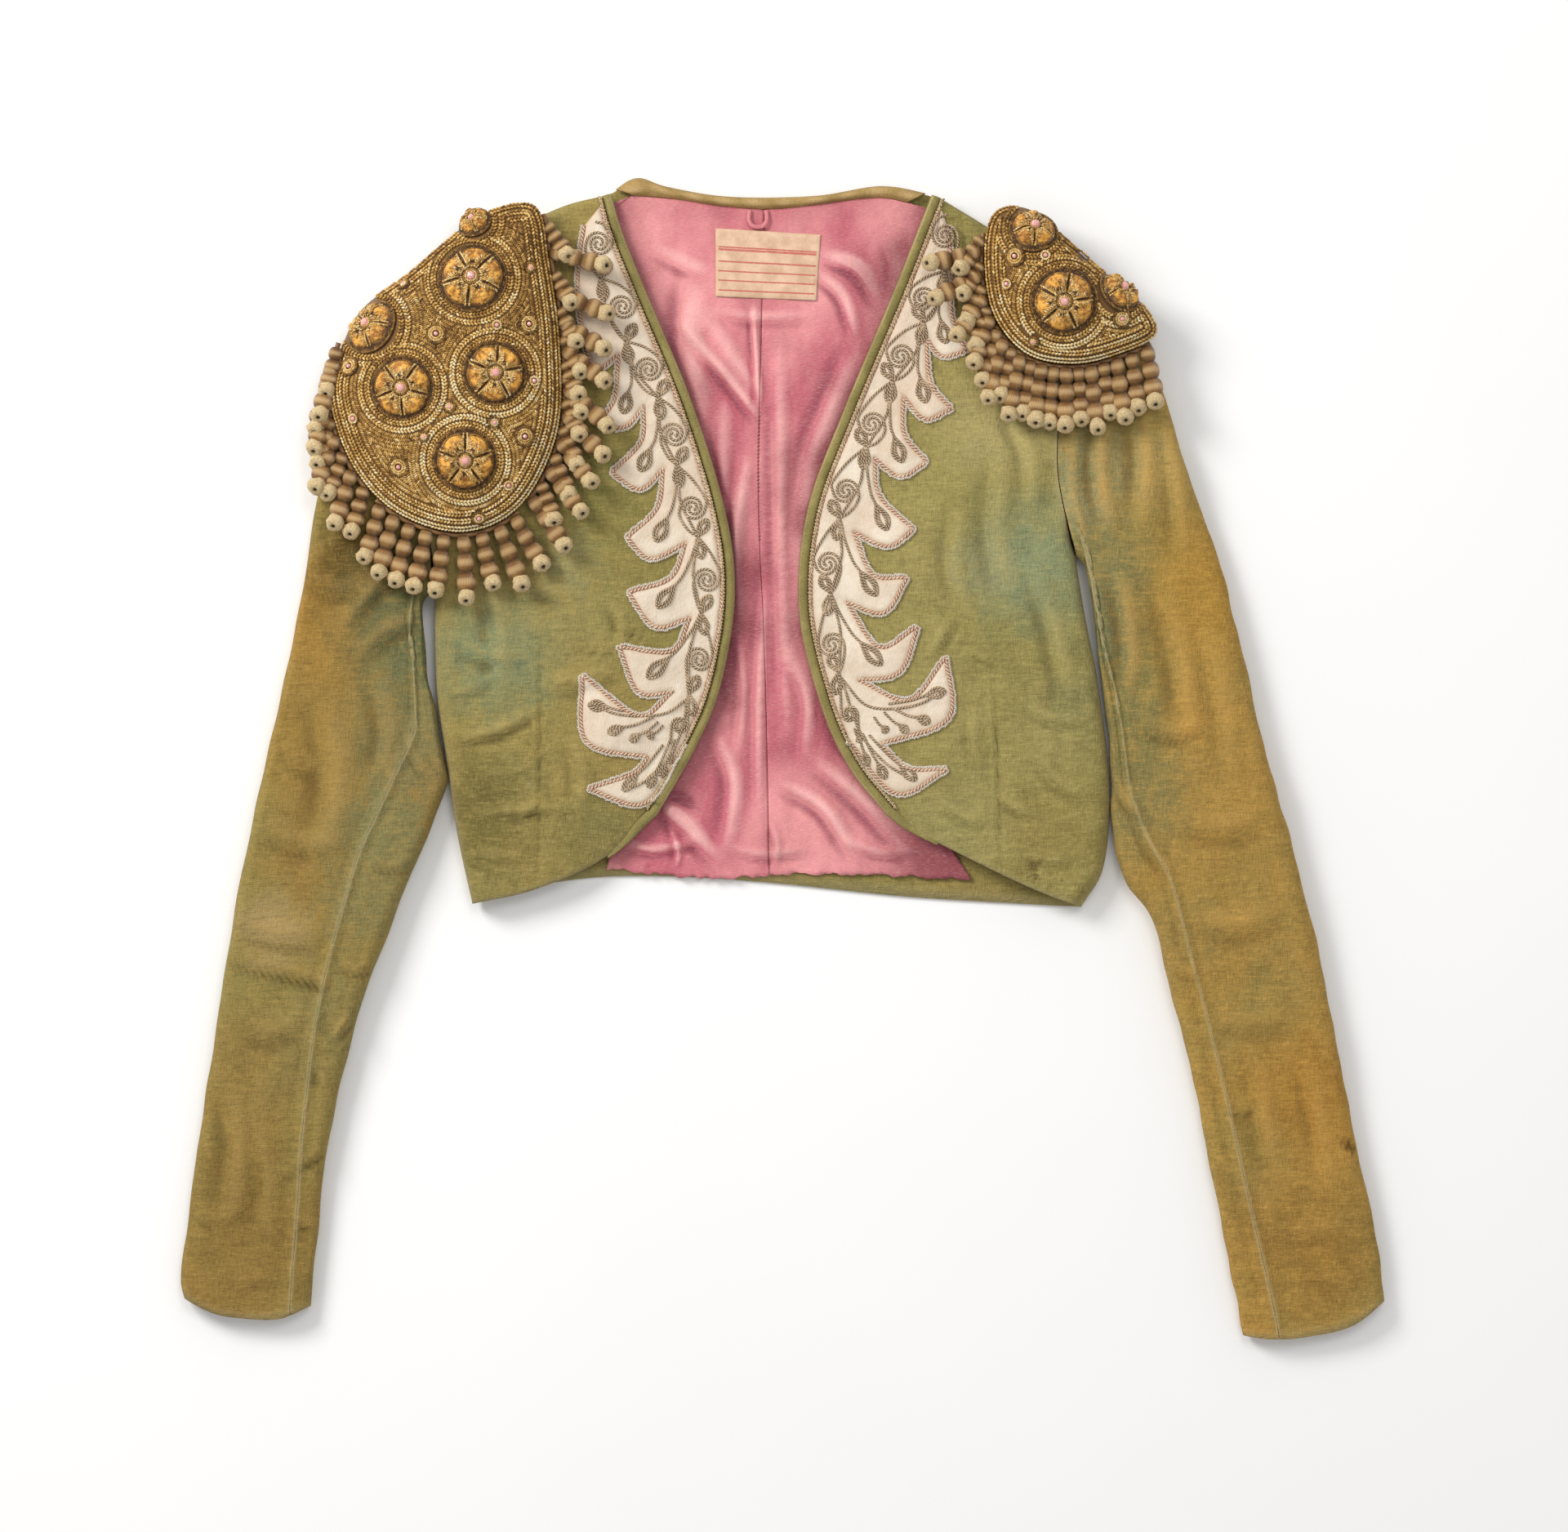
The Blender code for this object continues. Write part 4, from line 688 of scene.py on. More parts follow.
def edge_binding(name, opening, inward, face, panel):
    rows = np.linspace(0, 1, 260)
    cord_line = along(shifted(opening, inward * BINDING_WIDTH), rows)
    edge = along(opening, rows)
    run = lengths(edge)[:, None]
    parts = np.linspace(0, 1, 9)
    ground = cord_line[:, None] + (edge - cord_line)[:, None] * parts[None, :, None]
    height = smoothed(felt(surface_of(panel), cord_line + (cord_line - edge) * .25, OPENING_TOP), 20)[:, None]
    roll = np.array([-.5, .3, .8, 1.1, 1.25, 1.2, .9, .2, -1.3]) * MM
    stitch = .12 * MM * np.sin(run * 2200) * np.exp(-((parts - .12) / .14) ** 2)
    uneven = .35 * MM * np.sin(run * 160 + 2 * np.sin(run * 41))
    laid_in = ease(rows * 11)[:, None]
    grid = np.dstack((ground, height + roll * laid_in + stitch + uneven - 2.4 * MM * (1 - laid_in)))
    pale = np.exp(-((parts - .9) / .16) ** 2) * (.8 + .2 * np.sin(run * 60 + 5 * np.sin(run * 17)))
    return cloth(name, grid, face, 2.4 * MM, olive_strip, "binding", [name],
                 {"edge": pale * ease(rows * 9)[:, None]})


binding_left = edge_binding("edge_binding_left",
                            joined(LEFT_HEM[LEFT_HEM[:, 0] > plan((742, 0))[0]], LEFT_OPENING),
                            1, 1, front_left)
binding_right = edge_binding("edge_binding_right", joined(RIGHT_HEM[RIGHT_HEM[:, 0] < plan((1150, 0))[0]],
                                                          RIGHT_OPENING), -1, -1, front_right)
neck_rows = np.linspace(0, 1, 170)
neck_high = along(shifted(NECK, -.4 * MM), .02 + .96 * neck_rows)
neck_low = along(curve(plan([(772, 236), (830, 241), (893, 250), (957, 252), (1068, 239), (1118, 246)])),
                 .02 + .96 * neck_rows)
neck_parts = np.linspace(0, 1, 11)
neck_ground = neck_low[:, None] + (neck_high - neck_low)[:, None] * neck_parts[None, :, None]
neck_roll = np.interp(neck_parts, (0, .12, .35, .7, .9, 1), (3.9, 5.4, 7.4, 7.6, 6.4, 4.4)) * MM
neck_wave = .4 * MM * np.sin(lengths(neck_low) * 120 + 2 * np.sin(lengths(neck_low) * 47))
neck_grid = np.dstack((neck_ground, neck_roll + neck_wave[:, None] * np.sin(np.pi * neck_parts)))
neck_binding = cloth("neck_binding", neck_grid, 1, 1.4 * MM, tan_strip, "binding", ["neck_binding"],
                     {"edge": np.exp(-((neck_parts - .55) / .3) ** 2) * (.7 + .3 * np.sin(neck_rows * 60))[:, None]})


# Lining. The back is lined with thin pink silk satin in two halves, seamed down the middle. It is loose,
# so it lies in soft folds, with painted highlights on their ridges and painted deep rose shade in their
# troughs, and its lower edge is frayed and roughly mended.
LINING_SEAM = curve(plan([(936, 256), (932, 420), (929, 620), (937, 820), (942, 1072)]))[::-1]
LINING_LOW = curve(plan([(742, 1064), (804, 1071), (892, 1076), (960, 1071), (1077, 1072), (1190, 1078)]))
NECK_LOWER = curve(plan([(772, 236), (830, 241), (893, 250), (957, 252), (1068, 239), (1118, 246)]))
LINING_FOLDS = [
    ((838, 398), (884, 452), (930, 510), 5, 3.6), ((862, 380), (900, 440), (936, 486), 8, 1.8),
    ((922, 371), (926, 430), (930, 495), 3, 2.4), ((915, 560), (902, 660), (905, 760), 6, 2.6),
    ((955, 420), (958, 640), (965, 900), 7, 2.0), ((790, 960), (835, 1004), (880, 1050), 7, 2.8),
    ((1010, 310), (1052, 326), (1080, 370), 6, 3.4), ((1000, 330), (1032, 360), (1050, 410), 5, 2.4),
    ((1000, 930), (1062, 984), (1120, 1050), 7, 2.2), ((940, 700), (930, 850), (930, 1000), 5, 1.8),
    ((800, 985), (824, 978), (850, 990), 7, -2.6), ((880, 900), (900, 960), (890, 1040), 7, 2.0),
    ((960, 960), (1010, 990), (1050, 1050), 6, 2.2), ((1080, 980), (1110, 1010), (1160, 1030), 6, 2.0),
    ((850, 340), (846, 420), (868, 520), 10, 2.2), ((890, 480), (886, 560), (900, 640), 7, 1.6),
    ((1000, 520), (984, 640), (982, 760), 8, 1.8), ((1050, 430), (1020, 500), (1000, 560), 9, 2.2),
    ((1020, 850), (1040, 900), (1090, 940), 8, 1.8), ((760, 1030), (800, 1040), (850, 1030), 4, 1.8),
    ((900, 1040), (940, 1046), (990, 1040), 4, 1.6), ((1040, 1030), (1080, 1044), (1130, 1040), 4, 1.6),
    ((1090, 290), (1100, 330), (1090, 380), 6, 2.2), ((860, 700), (880, 780), (884, 860), 8, -1.8),
    ((800, 300), (840, 320), (868, 330), 6, 1.8), ((820, 1010), (830, 1040), (828, 1062), 3, 1.8),
    ((946, 1010), (952, 1036), (948, 1064), 3, 1.6), ((880, 380), (930, 386), (1000, 384), 5, 1.4),
    ((970, 800), (990, 860), (985, 930), 6, 1.6), ((905, 780), (912, 850), (905, 920), 5, 1.5)]


def satin_colour(dye):
    here = dye.place()
    wide = dye.cloud(here, (16, 9, 16), 3, .5)
    tone = wide.clear(.40, .60).mix((.55, .125, .165), (.85, .32, .33))
    tone = (dye.cloud(here, (34, 22, 34), 3).clear(.54, .68) * .55).mix(tone, (.56, .18, .19))
    # Painted light from the fold note: painted highlight on fold ridges, painted deep rose shade in fold troughs.
    fold = dye.note("fold")
    tone = (fold.clear(.3, 2.0) * .85).mix(tone, (.98, .50, .48))
    tone = ((0 - fold).clear(.18, 1.1) * .85).mix(tone, (.27, .04, .07))
    tone = dye.note("shadow").clear(0, 1.15).mix(tone, (.26, .045, .06))
    grain = dye.cloud(here, (260, 2400, 400), 2)
    tone = (grain.clear(.5, .75) * .22).mix(tone, (.98, .68, .64))
    stain = dye.cloud(here, (70, 70, 70), 5, .7).clear(.62, .72) * .35
    return stain.mix(tone, (.46, .21, .15))


pink_satin = finished("pink_satin", satin_colour,
                      lambda dye: dye.cloud(dye.place(), (120, 500, 120)) * .2 + .23,
                      lambda dye: dye.cloud(dye.place(), (300, 2600, 400), 2) * .35
                      + dye.cloud(dye.place(), (75, 60, 75), 4, .6), .0013,
                      Specular_IOR_Level=.34, Sheen_Weight=.03)


def lining_half(name, opening, inward, turned, face):
    seam = shifted(LINING_SEAM, turned * GAP / 2)
    hidden = shifted(opening, inward * 26 * MM)
    low_end, top_end = (LINING_LOW[0], plan((733, 268))) if inward > 0 else (LINING_LOW[-1],
                                                                             plan((1158, 268)))
    hidden = hidden[(hidden[:, 1] > low_end[1] + 8 * MM) & (hidden[:, 1] < top_end[1])]
    hidden = np.vstack((low_end[None], hidden, top_end[None]))
    neck = shifted(NECK_LOWER, -1.2 * MM)
    half = LINING_LOW[:, 0] < seam[0, 0] if inward > 0 else LINING_LOW[:, 0] > seam[0, 0]
    near = neck[:, 0] < seam[-1, 0] - 2 * MM if inward > 0 else neck[:, 0] > seam[-1, 0] + 2 * MM
    near &= (neck[:, 0] > NECK[0, 0] + 4 * MM) & (neck[:, 0] < NECK[-1, 0] - 4 * MM)
    low = LINING_LOW[half][::inward]
    high = np.vstack((top_end[None], neck[near][::inward], seam[-1:]))
    low = np.vstack((low, seam[:1]))
    up = np.linspace(0, 1, 172)
    across = np.tile(np.linspace(0, 1, 70), (172, 1))
    ground = patch(hidden, seam, low, high, across, up)
    fold = creases(ground, LINING_FOLDS)
    seam_gap = (1 - across) * np.linalg.norm(along(hidden, up) - along(seam, up), axis=1)[:, None]
    fray = np.exp(-((up[:, None] * .42 / .006) ** 2))
    shape = fold * 1.5 + ripple(ground, 26, .5, 12) + ripple(ground, 9, .14, 13)
    shape = (shape * ease((plan((0, 375))[1] - ground[..., 1]) / .03 + .35) -
             .5 * MM * np.exp(-(seam_gap / .003) ** 2))
    shape += fray * ripple(ground, 6, .6, 14)
    ground[..., 1] += fray * ripple(ground, 7, 1.1, 15)
    rise = 3.9 * MM + np.clip(shape + 1.2 * MM, 0, 6.2 * MM)
    gap = np.linalg.norm(ground[:, :, None] - along(opening, np.linspace(0, 1, 60))[None, None],
                         axis=-1).min(-1)
    along_edge = np.interp(-ground[..., 1], [-plan((0, y))[1] for y in (240, 420, 620, 760, 900, 1010)],
                           (.7, .5, .65, 1, .8, .3) if inward > 0 else (.7, .65, .6, .35, .2, .3))
    shadow = np.exp(-((gap / (13 * MM)) ** 2)) * along_edge
    for mark, reach, depth in (((1140, 1045), 34, 1), ((1200, 1070), 30, 1), ((760, 1040), 14, .6),
                               ((925, 700), 13, .6), ((928, 772), 11, .55), ((975, 770), 13, .4),
                               ((965, 560), 13, .55), ((985, 640), 12, .6), ((950, 1040), 14, .35),
                               ((956, 606), 12, .5), ((1010, 560), 11, .35), ((960, 920), 10, .35),
                               ((905, 860), 10, .4), ((870, 470), 12, .4), ((1068, 338), 17, .65),
                               ((1096, 300), 10, .5), ((1020, 470), 9, .3)):
        shadow += depth * np.exp(-(np.linalg.norm(ground - plan(mark), axis=-1) / (reach * MM)) ** 2)
    shadow += .14 * ease((ground[..., 1] - plan((0, 272))[1]) / .004)
    shadow = np.clip(shadow, 0, 1)
    return cloth(name, np.dstack((ground, rise)), face, .5 * MM, pink_satin, "satin", [name],
                 {"fold": fold / MM, "shadow": shadow})


lining_left = lining_half("lining_left", LEFT_OPENING, 1, 1, 1)
lining_right = lining_half("lining_right", RIGHT_OPENING, -1, -1, -1)


# Label and hanger loop. A small woven cream label, ruled in red, is zigzagged to the lining below the
# neck. Over it a narrow folded strip of pink satin makes the loop that the jacket hangs by.
def label_weave(dye):
    here = dye.place()
    tone = dye.cloud(here, (120, 120, 120), 4).clear(.35, .68).mix((.66, .42, .27), (.86, .60, .42))
    rule = dye.note("rule") + (dye.cloud(here, (500, 3000, 500), 2) - .5) * .5
    tone = (rule.clear(.45, .7) * .9).mix(tone, (.56, .10, .09))
    return (dye.cloud(here, (2600, 300, 300), 2).clear(.5, .75) * .3).mix(tone, (.50, .33, .17))


cream_label = finished("label_cotton", label_weave,
                       lambda dye: dye.cloud(dye.place(), (300, 300, 300)) * .1 + .75,
                       lambda dye: dye.cloud(dye.place(), (2400, 2400, 500), 2), .0003)
lining_top = surface_of(lining_left, lining_right)
label_up = np.linspace(0, 1, 54)
label_ends = [plan(mark) for mark in ((876, 362), (1000, 367), (876, 278), (1005, 286))]
label_across = np.tile(np.linspace(0, 1, 66), (54, 1))
label_ground = patch(np.array([label_ends[0], label_ends[2]]), np.array([label_ends[1], label_ends[3]]),
                     np.array([label_ends[0], label_ends[1]]), np.array([label_ends[2], label_ends[3]]),
                     label_across, label_up)
label_rim = np.minimum(np.minimum(label_across, 1 - label_across) * 72,
                       np.minimum(label_up, 1 - label_up)[:, None] * 48)
label_bed = felt(lining_top, label_ground[::6, ::8], .005).mean()
label_rise = label_bed + 1.3 * MM + .5 * MM * np.sin(label_across * 9 +
                                                     label_up[:, None] * 4) - .5 * MM * np.exp(
    -((label_rim / 1.5) ** 2))
rules = np.zeros(label_across.shape)
for row, first, last in ((.73, .03, .97), (.69, .03, .97), (.52, .02, .98), (.38, .02, .98), (.24, .02, .98),
                         (.10, .02, .98)):
    span = (label_across > first) & (label_across < last)
    rules = np.maximum(rules, span * np.exp(-(((label_up[:, None] - row) * 48 / .75) ** 2)))
label = cloth("label", np.dstack((label_ground, label_rise)), 1, .35 * MM, cream_label, "ivory_silk",
              ["label"],
              {"rule": rules})


def ribbon(name, way, width, rise, thickness, finish, slot, replaces=()):
    """A narrow flat tape along a line of places."""
    line = along(way, np.linspace(0, 1, 60))
    left = shifted(line, width / 2)
    right = shifted(line, -width / 2)
    parts = np.linspace(0, 1, 5)
    ground = left[:, None] + (right - left)[:, None] * parts[None, :, None]
    grid = np.dstack((ground, rise[:, None] + np.array([-.2, .15, .2, .15, -.2]) * MM))
    return cloth(name, grid, -1, thickness, finish, slot, replaces, {"rule": np.zeros(grid.shape[:2])})


loop_way = curve(plan([(918, 256), (917, 268), (921, 275), (928, 277), (935, 275), (939, 268), (938, 256)]))
ribbon("hanger_loop", loop_way, 2.6 * MM, 6.2 * MM + 1.6 * MM * np.sin(np.pi * np.linspace(0, 1, 60)),
       .5 * MM,
       pink_satin, "satin", ["hanger_loop"])


# Applique bands. Each front has a band of ivory silk, its lobes turned to the armhole, cut out over
# wadding and couched down. Its edge is covered by a frayed cream gimp and a twisted pink-gold cord.
def ivory_colour(dye):
    here = dye.place()
    tone = dye.cloud(here, (35, 35, 35), 4).clear(.36, .66).mix((.70, .56, .42), (.84, .73, .58))
    tone = (dye.cloud(here, (18, 14, 18), 3).clear(.54, .68) * .5).mix(tone, (.62, .46, .31))
    rib = dye.cloud(here, (2200, 300, 600), 2)
    tone = (rib.clear(.5, .75) * .3).mix(tone, (.93, .87, .76))
    return (dye.note("hem") * .55).mix(tone, (.55, .38, .24))


ivory_silk = finished("ivory_silk", ivory_colour,
                      lambda dye: dye.cloud(dye.place(), (200, 200, 200)) * .2 + .42,
                      lambda dye: dye.cloud(dye.place(), (1900, 320, 500), 2) * .5
                      + dye.cloud(dye.place(), (150, 150, 150), 3), .0008, Sheen_Weight=.15)


def twist(name, light, dark, pitch):
    """Two-ply cord: painted highlight on the plies and painted shade in the grooves between them wind round it,
    once in each pitch of millimetres.
    """
    def colour(dye):
        wave = (dye.note("run") * (2 * math.pi / pitch) + dye.note("round") * (2 * math.pi))
        strand = dye.node("Math", {"operation": "SINE"}, {0: wave}) * .5 + .5
        worn = dye.cloud(dye.place(), (160, 160, 160), 4)
        # Painted light and shade along the twist: light on each ply's crown, dark in the groove between plies.
        shade = strand.clear(.1, .75).mix(dark, light)
        pale = tuple(min(1, c * 1.35) for c in light)
        return (worn.clear(.5, .68) * .45).mix(shade, pale)

    def relief(dye):
        wave = (dye.note("run") * (2 * math.pi / pitch) + dye.note("round") * (2 * math.pi))
        return dye.node("Math", {"operation": "SINE"}, {0: wave})

    return finished(name, colour, lambda dye: dye.cloud(dye.place(), (400, 400, 400)) * .2 + .42, relief,
                    .0004,
                    Sheen_Weight=.1)


pink_gold = twist("pink_gold_cord", (.90, .60, .42), (.32, .15, .08), 2.6)
cream_gimp = twist("cream_gimp", (.90, .82, .68), (.58, .43, .28), 1.5)
pewter = twist("pewter_cord", (.66, .49, .31), (.16, .095, .04), 2.2)
old_gold = twist("old_gold_cord", (.86, .66, .38), (.34, .20, .08), 2.0)


def tube(lines, radius, sides=6):
    """Round cord along lines of places. Gives points, faces and the notes that a twist needs."""
    points = []
    faces = []
    runs = []
    rounds = []
    turns = np.linspace(0, 2 * np.pi, sides, endpoint=False)
    for line in lines:
        way = np.gradient(line, axis=0)
        way /= np.maximum(np.linalg.norm(way, axis=1), 1e-9)[:, None]
        side = np.cross(way, (0, 0, 1))
        side /= np.maximum(np.linalg.norm(side, axis=1), 1e-9)[:, None]
        up = np.cross(side, way)
        ring = (np.cos(turns)[None, :, None] * side[:, None] +
                np.sin(turns)[None, :, None] * up[:, None]) * radius
        first = len(points)
        count = len(line)
        points += (line[:, None] + ring).reshape(-1, 3).tolist()
        runs.append(np.repeat(lengths(line) / MM, sides))
        rounds.append(np.tile(np.abs(turns / np.pi - 1), count))
        index = first + np.arange(count * sides).reshape(count, sides)
        after = np.roll(index, -1, axis=1)
        faces += np.stack((index[:-1], after[:-1], after[1:], index[1:]), -1).reshape(-1, 4).tolist()
        faces += [index[0][::-1].tolist(), index[-1].tolist()]
    return points, faces, {"run": np.concatenate(runs), "round": np.concatenate(rounds)}


LEFT_LOBE_START = [(716, 276), (708, 340), (714, 410), (730, 451), (758, 433)]
LEFT_LOBES = [((753, 489), (731, 519), (765, 523), (789, 496)),
              ((786, 541), (750, 579), (784, 599), (813, 573)),
              ((806, 622), (769, 659), (797, 684), (841, 664)),
              ((822, 708), (771, 726), (802, 767), (846, 756)),
              ((823, 798), (760, 793), (783, 847), (825, 847)),
              ((782, 877), (714, 828), (720, 908), (795, 927)),
              ((775, 948), (722, 966), (790, 983), (838, 909))]
RIGHT_LOBE_START = [(1160, 276), (1163, 305), (1166, 342)]
RIGHT_LOBES = [((1165, 385), (1182, 430), (1154, 436), (1134, 413)),
               ((1139, 469), (1164, 501), (1133, 513), (1106, 485)),
               ((1107, 532), (1134, 566), (1102, 583), (1070, 560)),
               ((1077, 608), (1118, 649), (1087, 669), (1045, 651)),
               ((1068, 704), (1110, 708), (1082, 750), (1036, 737)),
               ((1076, 793), (1123, 768), (1101, 823), (1050, 833)),
               ((1113, 858), (1158, 806), (1160, 880), (1077, 911)),
               ((1112, 941), (1159, 942), (1097, 971), (1039, 906))]


def lobed_edge(start, lobes):
    """The scalloped side of a band: each lobe bulges to its tip and is notched back to the stem."""
    line = curve(plan(start))
    last = start[-1]
    for upper, tip, under, notch in lobes:
        line = joined(line, curve(plan([last, upper, tip])), curve(plan([tip, under, notch])))
        last = notch
    return line


def dense(line, spacing):
    count = max(3, int(lengths(line)[-1] / spacing))
    return along(line, np.linspace(0, 1, count))


def band(name, start, lobes, opening, inward, panel):
    inner_edge = shifted(opening, inward * (BINDING_WIDTH + 4 * GAP + 1.4 * MM))
    outer = dense(lobed_edge(start, lobes), 1.6 * MM)
    parts = np.linspace(0, 1, 400)
    near = np.argmin(np.linalg.norm(along(inner_edge, parts) - outer[-1], axis=1))
    back = dense(along(inner_edge, np.linspace(parts[near] + .012, .985, 200)), 2 * MM)
    outline = np.vstack((outer, back))
    low = outline.min(0)
    high = outline.max(0)
    grid = np.stack(np.meshgrid(np.arange(low[0], high[0], 2.1 * MM), np.arange(low[1], high[1], 2.1 * MM)),
                    -1)
    spots = grid.reshape(-1, 2)
    away = np.full(len(spots), 1.0)
    for mark in outline:
        away = np.minimum(away, ((spots - mark) ** 2).sum(1))
    spots = spots[away > (1.2 * MM) ** 2]
    count = len(outline)
    ring = [(i, (i + 1) % count) for i in range(count)]
    found = delaunay_2d_cdt([Vector(spot) for spot in np.vstack((outline, spots))], ring, [], 1, 1e-7)
    flat = np.array([tuple(spot) for spot in found[0]])
    away = np.full(len(flat), 1.0)
    for mark in dense(np.vstack((outline, outline[:1])), .8 * MM):
        away = np.minimum(away, ((flat - mark) ** 2).sum(1))
    away = np.sqrt(away)
    bed = felt(surface_of(panel), flat, BODY_TOP)
    crown = 1.5 * MM * np.sqrt(np.clip(1 - (1 - np.clip(away / (3.2 * MM), 0, 1)) ** 2, 0, 1))
    crown += ripple(flat, 14, .3, 21) * np.clip(away / .004, 0, 1)
    top = np.column_stack((flat, bed + .5 * MM + crown))
    under = np.column_stack((flat, bed + .25 * MM))
    faces = [tuple(face) for face in found[2]]
    total = len(flat)
    seen = {}
    for face in faces:
        for a, b in zip(face, face[1:] + face[:1]):
            seen[(a, b)] = seen.get((b, a), 0) or 1
            if (b, a) in seen:
                seen[(a, b)] = seen[(b, a)] = 2
    sides = [(b, a, a + total, b + total) for (a, b), times in seen.items() if times == 1]
    faces += [tuple(corner + total for corner in face[::-1]) for face in faces] + sides
    hem = np.exp(-((away / (2.2 * MM)) ** 2))
    made = piece(name, np.vstack((top, under)), faces, ivory_silk, "ivory_silk", [name],
                 {"hem": np.tile(hem, 2)})
    return made, outer, back


def couched(name, lines, surface, radius, lift, finish, slot, spacing=1.1, otherwise=BODY_TOP):
    """Cords sewn down on what lies under them."""
    laid = []
    for line in lines:
        line = dense(line, spacing * MM)
        height = smoothed(felt(surface, line, otherwise), 3)
        laid.append(np.column_stack((line, height + lift)))
    points, faces, notes = tube(laid, radius)
    return piece(name, points, faces, finish, slot, (), notes)


band_left, left_outer, left_back = band("applique_left", LEFT_LOBE_START, LEFT_LOBES, LEFT_OPENING, 1,
                                        front_left)
band_right, right_outer, right_back = band("applique_right", RIGHT_LOBE_START, RIGHT_LOBES, RIGHT_OPENING, -1,
                                           front_right)
FRAY_REACH = 2.1 * MM
FRAY_STRAY = .28 * MM
EDGE_CORD = 1.15 * MM
ZIGZAG_SWING = .8 * MM
for side, made, outer, back, opening, inward, panel, area in (
        ("left", band_left, left_outer, left_back, LEFT_OPENING, 1, front_left, .02),
        ("right", band_right, right_outer, right_back, RIGHT_OPENING, -1, front_right, .0165)):
    cloth_under = surface_of(panel, made)
    sign = 1 if side == "left" else -1
    draw = np.random.default_rng(31)
    fray = dense(shifted(outer, -sign * FRAY_REACH), .9 * MM)
    fray = fray + draw.normal(0, FRAY_STRAY, fray.shape)
    couched("gimp_" + side, [fray], surface_of(panel), 1.05 * MM, .8 * MM, cream_gimp, "ivory_silk", .8)
    couched("edge_cord_" + side, [shifted(outer, -sign * .3 * MM), shifted(back, -sign * .8 * MM)],
            cloth_under, EDGE_CORD, 1.1 * MM, pink_gold, "gold_work", .9)
    zig = dense(shifted(opening, inward * (BINDING_WIDTH + 1.2 * MM)), 1.1 * MM)
    swing = np.where(np.arange(len(zig)) % 2, 1, -1)[:, None]
    way = np.gradient(zig, axis=0)
    way /= np.linalg.norm(way, axis=1)[:, None]
    zig = zig + swing * ZIGZAG_SWING * np.stack((-way[:, 1], way[:, 0]), -1)
    couched("opening_cord_" + side, [zig], surface_of(panel), .75 * MM, 1.7 * MM, old_gold, "gold_work", .7,
            OPENING_TOP)


# Vine embroidery. On each band a twisted pewter cord is couched in a vine: a double stem swells between
# its knots, with a spiral, a teardrop on a short stalk and two leaves to each lobe.
LEFT_KNOTS = [(735, 341), (766, 418), (805, 486), (828, 569), (854, 657), (858, 750), (843, 849)]
LEFT_SPIRALS = [(733, 298), (762, 376), (794, 452), (825, 532), (848, 622), (865, 710), (856, 807),
                (832, 888)]
LEFT_DROPS = [(763, 506), (784, 577), (803, 663), (805, 744), (793, 830)]
RIGHT_KNOTS = [(1157, 332), (1131, 394), (1093, 466), (1061, 547), (1028, 634), (1017, 726), (1027, 823)]
RIGHT_SPIRALS = [(1157, 289), (1129, 366), (1102, 436), (1067, 519), (1035, 601), (1013, 690), (1018, 789),
                 (1040, 874)]
RIGHT_DROPS = [(1158, 420), (1133, 493), (1104, 566), (1086, 649), (1073, 729), (1079, 814)]


def leaf(root, tip, width):
    """A leaf of cord laid in loops, one inside another."""
    root = np.array(root, float)
    way = np.array(tip, float) - root
    side = np.array([-way[1], way[0]]) / np.linalg.norm(way)
    lines = []
    for part in (1, .5):
        start = root + way * (.3 - .3 * part)
        end = root + way * (.82 + .18 * part)
        swell = side * width * part
        belly = root + way * .6
        lines.append(curve(plan([start, belly - swell, end, belly + swell, start]), steps=10))
    return lines


def vine(knots, spirals, drops, lobe_side, ends, stems):
    """Stems from knot to knot, with a two-armed spiral, a drop and two leaves to each."""
    lines = []
    open_side = -lobe_side
    knots = [np.array(knot, float) for knot in knots]
    for order, centre in enumerate(spirals):
        centre = np.array(centre, float)
        reach = 15.5 if order < len(spirals) - 1 else 10
        above = knots[order - 1] if order else centre + (lobe_side * 4, -26)
        below = knots[order] if order < len(knots) else centre + (lobe_side * 12, 22)
        for start, entry, drift in ((above, 0, -1), (below, 180, 1)):
            turn = np.radians(np.linspace(entry, entry + 430, 44))
            radius = np.linspace(reach, 2.4, 44)
            coil = centre + np.stack((open_side * radius * np.cos(turn), radius * np.sin(turn)), -1)
            swing = open_side * (1 if entry == 0 else -1)
            lead = (start * .45 + (centre + (swing * reach, drift * reach * 1.3)) * .55, centre + (
                swing * reach * 1.02, drift * reach * .7))
            lines.append(curve(plan(np.vstack((start, lead, coil[::3]))), steps=6))
    for knot, after in zip(knots, knots[1:]):
        middle = (knot + after) / 2
        lines.append(curve(plan([knot, knot * .7 + after * .3 + (lobe_side * 5, 0),
                                 middle + (lobe_side * 7, 4),
                                 after])))
    for knot in knots:
        lines += leaf(knot, knot + (open_side * 12, -21), 6.5)
        lines += leaf(knot, knot + (open_side * 5, 27), 6.5)
    for order, tip in enumerate(drops):
        tip = np.array(tip, float)
        knot = knots[order + (0 if len(drops) == 6 else 1)]
        bend = knot + (tip - knot) * .55 + (open_side * 9, 0)
        start = bend + (tip - bend) * .3
        lines.append(curve(plan([knot, knot + (tip - knot) * .25 + (open_side * 6, 0), bend, start])))
        lines += leaf(start, tip, 8)
    lines += [curve(plan(stem)) for stem in stems]
    for root, tip, width in ends:
        lines += leaf(np.array(root) * .35 + np.array(tip) * .65, tip, width * .9)
        lines.append(curve(plan([root, np.array(root) * .6 + np.array(tip) * .4 + (0, 2),
                                 np.array(root) * .35 + np.array(tip) * .65])))
    return lines


